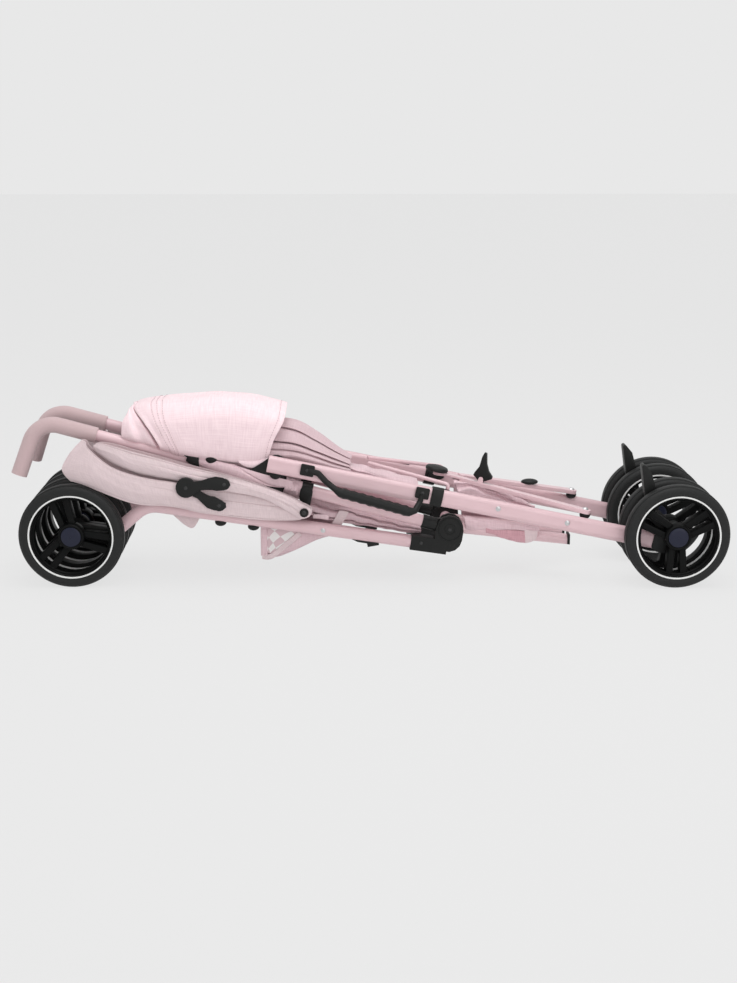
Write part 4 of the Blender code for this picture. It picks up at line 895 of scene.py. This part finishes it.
STRAP = [
    [(-46, 37.6, 103), (-52, 37.8, 92), (-58, 37.6, 82)],
    [(-41, 38, 103), (-47, 38.2, 92), (-53, 38, 82)],
    [(-36, 38, 102), (-42, 38.2, 91), (-48, 38, 81)],
    [(-31, 37.6, 101), (-37, 37.8, 90), (-43, 37.6, 80)],
]
TAG = [
    [(-84, 37.4, 97), (-72, 37.8, 97), (-60, 37.4, 95)],
    [(-85, 37.4, 91), (-73, 37.8, 90), (-62, 37.4, 88)],
]
for word in frames:
    patch("sling_strap", word, STRAP, (10, 14), leaf_linen, strap_wave)
    patch("sling_tape", word, TAG, (10, 6), linen)


# Seat edge
# Beside the pivot the seat's edge hangs in a slack swag over the bracket. Above it a lip of the hood's
# lining turns out, and below it a strip of elastic is gathered into ribs.
SWAG = [
    [(-249, 56, 187), (-225, 60, 184), (-195, 63, 177),
     (-172, 65.8, 170), (-152, 66.4, 164), (-113, 66, 154)],
    [(-249, 58, 184), (-225, 63, 179), (-195, 66, 172),
     (-170, 67, 164), (-150, 67, 159), (-113, 66, 151)],
    [(-249, 58, 180), (-225, 63, 173), (-197, 66, 166),
     (-170, 67, 158), (-148, 67, 153), (-113, 66, 148)],
    [(-249, 56, 177), (-228, 60, 168), (-201, 64, 160),
     (-172, 66.2, 153), (-146, 66.2, 147), (-113, 66, 146)],
    [(-249, 50, 176), (-228, 56, 167), (-201, 62, 159),
     (-172, 65.6, 152), (-146, 65.8, 146), (-113, 65.6, 145)],
]
LIP = [
    [(-192, 61, 186), (-178, 61, 185), (-164, 61, 184), (-146, 60, 189)],
    [(-190, 63, 181), (-178, 63, 179), (-165, 63, 178), (-150, 62, 184)],
    [(-187, 61, 178), (-180, 61, 174), (-167, 61, 173), (-154, 60, 180)],
]
RIB_AT = Vector((-0.1245, 0.06, 0.1455))
RIB_STEP = Vector((0.0021, 0.0, -0.0004))
RIB_R = 0.0066
RIBS = 10
FOLD_START = 0.34
FOLD_SLOPE = 1.5
FOLD_SPREAD = 0.05
FOLD_DEPTH = 0.0018


def swag_crease(u, v, point):
    """One fold that runs down across the swag."""
    down = v if point.y > 0 else 1 - v
    off = (down - FOLD_SLOPE * (u - FOLD_START)) / FOLD_SPREAD
    fold = math.exp(-(off ** 2)) if u > FOLD_START else 0.0
    return Vector((0.0, -math.copysign(FOLD_DEPTH, point.y) * fold, 0.0))


def rib_centre(side, k):
    """Middle of the gathered elastic after k ribs."""
    point = RIB_AT + RIB_STEP * k
    point.y *= side
    return point


for word, side in SIDES:
    patch("seat_swag", word, SWAG, (60, 36), wrinkle=swag_crease)
    patch("lining_lip", word, LIP, (20, 12), linen)
    ribs = drawn([[rib_centre(side, k) for k in range(RIBS)]], RIB_R, 10, True)
    for vert in ribs.data.vertices:
        k = (vert.co.x - RIB_AT.x) / RIB_STEP.x
        middle = rib_centre(side, k)
        vert.co = middle + (vert.co - middle) * (0.92 + 0.12 * (round(k) % 2))
    settle(ribs, f"elastic_gather_{word}", frames[word], seat_linen)


# Basket
# A pouch between the front legs, with a bound front edge, a bound slanting edge and a window of diagonal
# checks between them. A corner of the canopy's cloth shows under the leg in front of it.
checks, tree, shader = new_finish("check_weave", "cloth", (0.8, 0.7, 0.7), 0.85)
uv = wired(tree, "ShaderNodeUVMap").outputs["UV"]
askew = wired(tree, "ShaderNodeMapping", {"Vector": uv, "Rotation": (0.0, 0.0, math.radians(38))})
squares = wired(tree, "ShaderNodeTexChecker",
                {"Vector": askew.outputs["Vector"], "Scale": 70.0, "Color1": (0.8, 0.78, 0.77, 1.0),
                 "Color2": (0.64, 0.48, 0.51, 1.0)})
tree.links.new(squares.outputs["Color"], shader.inputs["Base Color"])

POUCH_NEAR = [
    [(-159, 0, 84), (-160, 0, 66), (-160, 0, 46), (-160, 0, 33), (-160, 0, 31)],
    [(-159, 32, 88), (-160, 33, 66), (-160, 33, 42), (-160, 24, 32), (-160, 0, 31)],
    [(-152, 33, 88), (-153, 35, 64), (-154, 34, 38), (-152, 22, 29), (-152, 0, 28)],
    [(-137, 33, 86), (-138, 35, 62), (-139, 34, 37), (-138, 22, 29), (-137, 0, 28)],
    [(-118, 33, 83), (-118, 35, 64), (-118, 34, 43), (-118, 22, 36), (-118, 0, 35)],
    [(-97, 33, 80), (-97, 35, 67), (-97, 34, 51), (-97, 22, 46), (-97, 0, 45)],
    [(-75, 33, 77), (-75, 34, 68), (-75, 33, 59), (-75, 20, 55), (-75, 0, 54)],
    [(-50, 33, 73), (-50, 33, 68), (-50, 32, 65), (-50, 20, 62), (-50, 0, 61)],
]
sewn("basket_pouch", cloth_form(closed_round(zip(*POUCH_NEAR[::-1])), crumple(0.0012, 40.0)), (56, 72), None,
     replaced=["basket"], thick=0.0012)


def tape_rows(points, width):
    """Rows of a tape laid along points, square to them in the picture plane and a little arched."""
    rows = []
    for share, lift in ((-0.5, 0.0), (-0.4, 0.5), (0.4, 0.5), (0.5, 0.0)):
        row = []
        for i, (x, y, z) in enumerate(points):
            a, b = points[max(i - 1, 0)], points[min(i + 1, len(points) - 1)]
            run = Vector((b[0] - a[0], 0.0, b[2] - a[2])).normalized()
            row.append((x - run.z * width * share, y + lift, z + run.x * width * share))
        rows.append(row)
    return rows


FRONT_BINDING = [(-156.5, 35, 86), (-157, 35.6, 68), (-157, 35.6, 50), (-157, 35.4, 34)]
SLANT_BINDING = [(-160, 35.2, 33), (-151, 35.8, 32), (-142, 36, 36), (-125, 36.2, 50), (-103, 36, 69)]
WINDOW = [
    [(-152, 35.4, 76), (-133, 35.8, 75), (-106, 35.6, 72)],
    [(-153, 35.8, 56), (-140, 36, 55), (-122, 36, 55)],
    [(-153, 35.4, 38), (-148, 35.6, 37), (-143, 35.6, 37)],
]
FLAP = [
    [(-302, 33, 105), (-276, 33, 101), (-248, 33, 97)],
    [(-294, 33, 99), (-272, 34, 92), (-251, 33, 93)],
    [(-287, 33, 93), (-264, 33, 76), (-252, 33, 89)],
]
for word in frames:
    patch("basket_window", word, WINDOW, (16, 16), checks)
    patch("basket_binding", word, tape_rows(FRONT_BINDING, 8.0), (24, 6))
    patch("basket_edge", word, tape_rows(SLANT_BINDING, 6.5), (36, 6), leaf_linen)
    patch("canopy_corner", word, FLAP, (20, 16), leaf_linen,
          wrinkle=crumple(0.0015, 50.0))


# Calf rest and seat front
# A net sags between the calf rails, with a cloth sleeve round each rail, and the front of the seat is
# bunched under the cross bars.
net = linen_finish("calf_net", (0.52, 0.27, 0.315), (0.68, 0.4, 0.445))
BELLY = [
    [(172, 34.6, 74), (186, 34.8, 71), (204, 34.8, 70), (226, 34.8, 69), (238, 34.8, 68), (250, 34.6, 67)],
    [(172, 34.8, 70), (186, 34.9, 66), (204, 34.9, 62), (226, 34.9, 58), (238, 34.9, 58), (250, 34.8, 62)],
    [(172, 33, 66), (186, 33, 62), (204, 33, 56), (226, 33, 51), (238, 33, 52), (250, 33, 58)],
    [(172, 20, 65), (186, 20, 60), (204, 20, 53), (226, 20, 48), (238, 20, 50), (250, 20, 56)],
    [(172, 0, 65), (186, 0, 59), (204, 0, 52), (226, 0, 47), (238, 0, 49), (250, 0, 55)],
]
BAND = [
    [(229, 35.2, 71), (239, 35.4, 70), (249, 35.2, 69)],
    [(230, 35.6, 61), (240, 35.8, 60), (249, 35.4, 62)],
    [(231, 34.4, 50), (240, 34.6, 52), (247, 34.4, 56)],
]
sewn("calf_sling", cloth_form(closed_round(BELLY)[::-1], crumple(0.0012, 70.0)), (48, 56), None,
     net, replaced=["calf_rest"])
RAIL_SLEEVE = [
    [(139, 24, 90), (165, 26, 87), (195, 28, 83), (228, 29, 79), (252, 29, 74)],
    [(140, 31, 87), (165, 32, 84), (195, 33, 80), (228, 33, 77), (252, 33, 72)],
    [(141, 34.4, 79), (165, 34.6, 77), (195, 34.8, 75), (228, 34.8, 73), (252, 34.8, 70)],
    [(142, 34.2, 71), (165, 34.2, 71), (195, 34.4, 71), (228, 34.4, 70), (252, 34.4, 68)],
]
BUNCH = [
    [(124, 15, 143), (145, 15, 140), (168, 15, 135), (190, 17, 127), (215, 20, 118), (246, 22, 105)],
    [(125, 22, 139), (147, 22, 139), (168, 23, 132), (191, 25, 124), (216, 28, 114), (245, 27, 104)],
    [(128, 18, 134), (149, 19, 135), (168, 20, 129), (193, 22, 120), (218, 25, 111), (245, 26, 103)],
    [(130, 25, 129), (152, 25, 132), (167, 25, 125), (197, 28, 116), (222, 30, 107), (244, 29, 102)],
    [(128, 22, 124), (152, 23, 121), (172, 24, 116), (198, 26, 108), (224, 27, 101), (243, 27, 98)],
    [(128, 26, 116), (152, 28, 112), (176, 30, 108), (200, 31, 102), (226, 31, 97), (242, 30, 95)],
]
for word in frames:
    patch("rail_sleeve", word, RAIL_SLEEVE, (48, 28), wrinkle=crumple(0.001, 60.0))
    patch("calf_band", word, BAND, (20, 20), leaf_linen)
    patch("seat_bunch", word, BUNCH, (48, 40), wrinkle=crumple(0.0026, 60.0),
          stem="lock")


# Fasteners
# Round-headed screws and rivets with a driver socket, black in the plastic parts and bright in the legs.
zinc = cast("zinc", "frame_paint", (0.66, 0.66, 0.67), 0.28, (900.0, 0.08, 0.0002), Metallic=1.0)
ebony = cast("screw_black", "black_plastic", (0.02, 0.02, 0.021), 0.3, (900.0, 0.08, 0.0002))
KNEE_FACE_Y = 0.057


def stud(name, body, side, x, y, z, r=2.6, h=1.0, finish=ebony):
    """A fastener whose head stands out sideways from (x, y, z), all in mm."""
    head = turned([(0.0003, -0.55 * h), (0.28 * r, -0.55 * h), (0.36 * r, -h), (0.75 * r, -0.86 * h),
                   (r, -0.35 * h), (r, 0.6), (0.0003, 0.6)], 28)
    head.data.transform(Matrix.Diagonal((MM, MM, MM, 1.0)))
    head.matrix_world = Matrix.Translation((CENTRE_X + x * MM, side * y * MM, z * MM)) @ outward(side)
    return settle(head, name, body, finish)


def dome(name, body, at, radii, finish=nylon):
    """A rounded cap at a point, in mm."""
    bpy.ops.mesh.primitive_uv_sphere_add(segments=28, ring_count=16, radius=1.0)
    cap = bpy.context.object
    cap.location = Vector(at) * MM
    cap.scale = Vector(radii) * MM
    return settle(cap, name, body, finish)


for word, side in SIDES:
    for name, stem, *place in (
        ("stay_hub", "stay_rear", -264, 86.1, 149),
        ("stay_screw_upper", "stay_rear", -209, 86.1, 154),
        ("stay_screw_lower", "stay_front", -217, 82.8, 122),
        ("canopy_stud", "frame", -95, 83.0, 110.5, 3.0, 1.4),
        ("knee_pin", "leg", 118.2, 57.0, 77.5, 2.6, 1.2),
        ("knee_screw", "leg", 76, 56.0, 57, 2.4, 1.0),
        ("leg_rivet", "leg", -68, 55.4, 77, 3.4, 1.4, zinc),
        ("rear_rivet_upper", "rear", 186, 78.9, 114, 3.8, 1.6, zinc),
        ("rear_rivet_lower", "rear", 287, 78.9, 92, 3.8, 1.6, zinc),
    ):
        stud(f"{name}_{word}", body_of(stem, word), side, *place)
    for name, stem, (x, y, z), *make in (
        ("leg_glide_0", "leg", (-219.5, 46, 88.5), (8.5, 6.5, 6.0)),
        ("leg_glide_1", "leg", (-171.5, 46, 81.5), (8.5, 6.5, 6.0)),
        ("tube_snap", "frame", (-230, 58, 185), (8.5, 5.0, 8.5)),
        ("pivot_boss", "frame", (-137.5, 69.5, 166.5), (9.0, 5.0, 9.0)),
        ("bar_foot", "rear", (313.4, 64, 101), (8.0, 6.5, 6.5)),
        ("bar_rivet", "rear", (313.4, 64, 108), (5.0, 4.5, 4.0), zinc),
    ):
        dome(f"{name}_{word}", body_of(stem, word), (x, side * y, z), *make)
    for at in (17.2, 8.0):
        section = ((at - 0.9, -0.7), (at, -0.7), (at + 0.3, 0.4), (at - 1.2, 0.4))
        ring = turned([(r * MM, y * MM) for r, y in section], 64)
        ring.matrix_world = Matrix.Translation((KNEE.x, side * KNEE_FACE_Y, KNEE.z)) @ outward(side)
        settle(ring, f"knee_ring_{int(at)}_{word}", f"leg_{word}", nylon)
stud("grip_plate_screw_front", "rear_right", -1, -89.8, 83.3, 173.1)
stud("grip_plate_screw_rear", "rear_right", -1, 75.8, 83.3, 138.6)
dome("bar_cap", "lock_left", (245, 40, 127), (13.0, 10.0, 4.5))


# Small black mouldings
# A toothed clip on each handle tube, a strip under the front leg, one on the far rear leg, a cap on the end
# of each calf rail and the full, curved faces of the stays' two arms.
def plate(name, body, outline, y0, y1):
    """A flat moulding from an outline in mm."""
    piece = slab([(x * MM, z * MM) for x, z in outline], y0 * MM, y1 * MM, 0.6 * MM)
    return settle(piece, name, body, nylon)


CLIP = [(-270, 192), (-268, 197), (-264, 195), (-260, 197), (-248, 190), (-248, 173), (-262, 179),
        (-267, 183), (-265, 188)]
STRIP = [(-29, 63), (-10, 59.5), (12, 56.5), (13, 53), (-4, 50), (-5, 55.5), (-19, 58)]
UPPER_ARM = [(-264, 158), (-252, 158.6), (-243, 159.6), (-234, 162.8), (-223, 165.4), (-212, 163.6),
             (-203, 158), (-201.5, 152.5), (-205.5, 147.6), (-214, 147.4), (-225, 149.2), (-234, 150.2),
             (-242, 149.2), (-247, 144.6), (-256, 140)]
LOWER_ARM = [(-256, 136), (-246, 141), (-246.5, 136.5), (-240, 131.6), (-228, 129), (-215, 129.6),
             (-209, 125.6), (-208.4, 119.4), (-214, 114.6), (-226, 115), (-236, 118.8), (-243, 126),
             (-250, 133)]
RAIL_CAP = [(293.8, 48), (297.6, 47.6), (297.6, 63.4), (293.8, 63.8)]
for word, side in SIDES:
    for name, stem, outline, y0, y1 in (
        ("tube_clip", "frame", CLIP, 54.6, 59.0),
        ("leg_strip", "leg", STRIP, 41, 51),
        ("stay_arm_upper", "stay_rear", UPPER_ARM, 83.2, 86.3),
        ("stay_arm_lower", "stay_front", LOWER_ARM, 80.0, 83.0),
        ("rail_cap", "frame", RAIL_CAP, 17.8, 35.2),
    ):
        plate(f"{name}_{word}", body_of(stem, word), outline, side * y0, side * y1)
plate("far_strip", "rear_left", [(38, 155.4), (62, 150.4), (63, 148.4), (39, 153.4)], 66, 78)
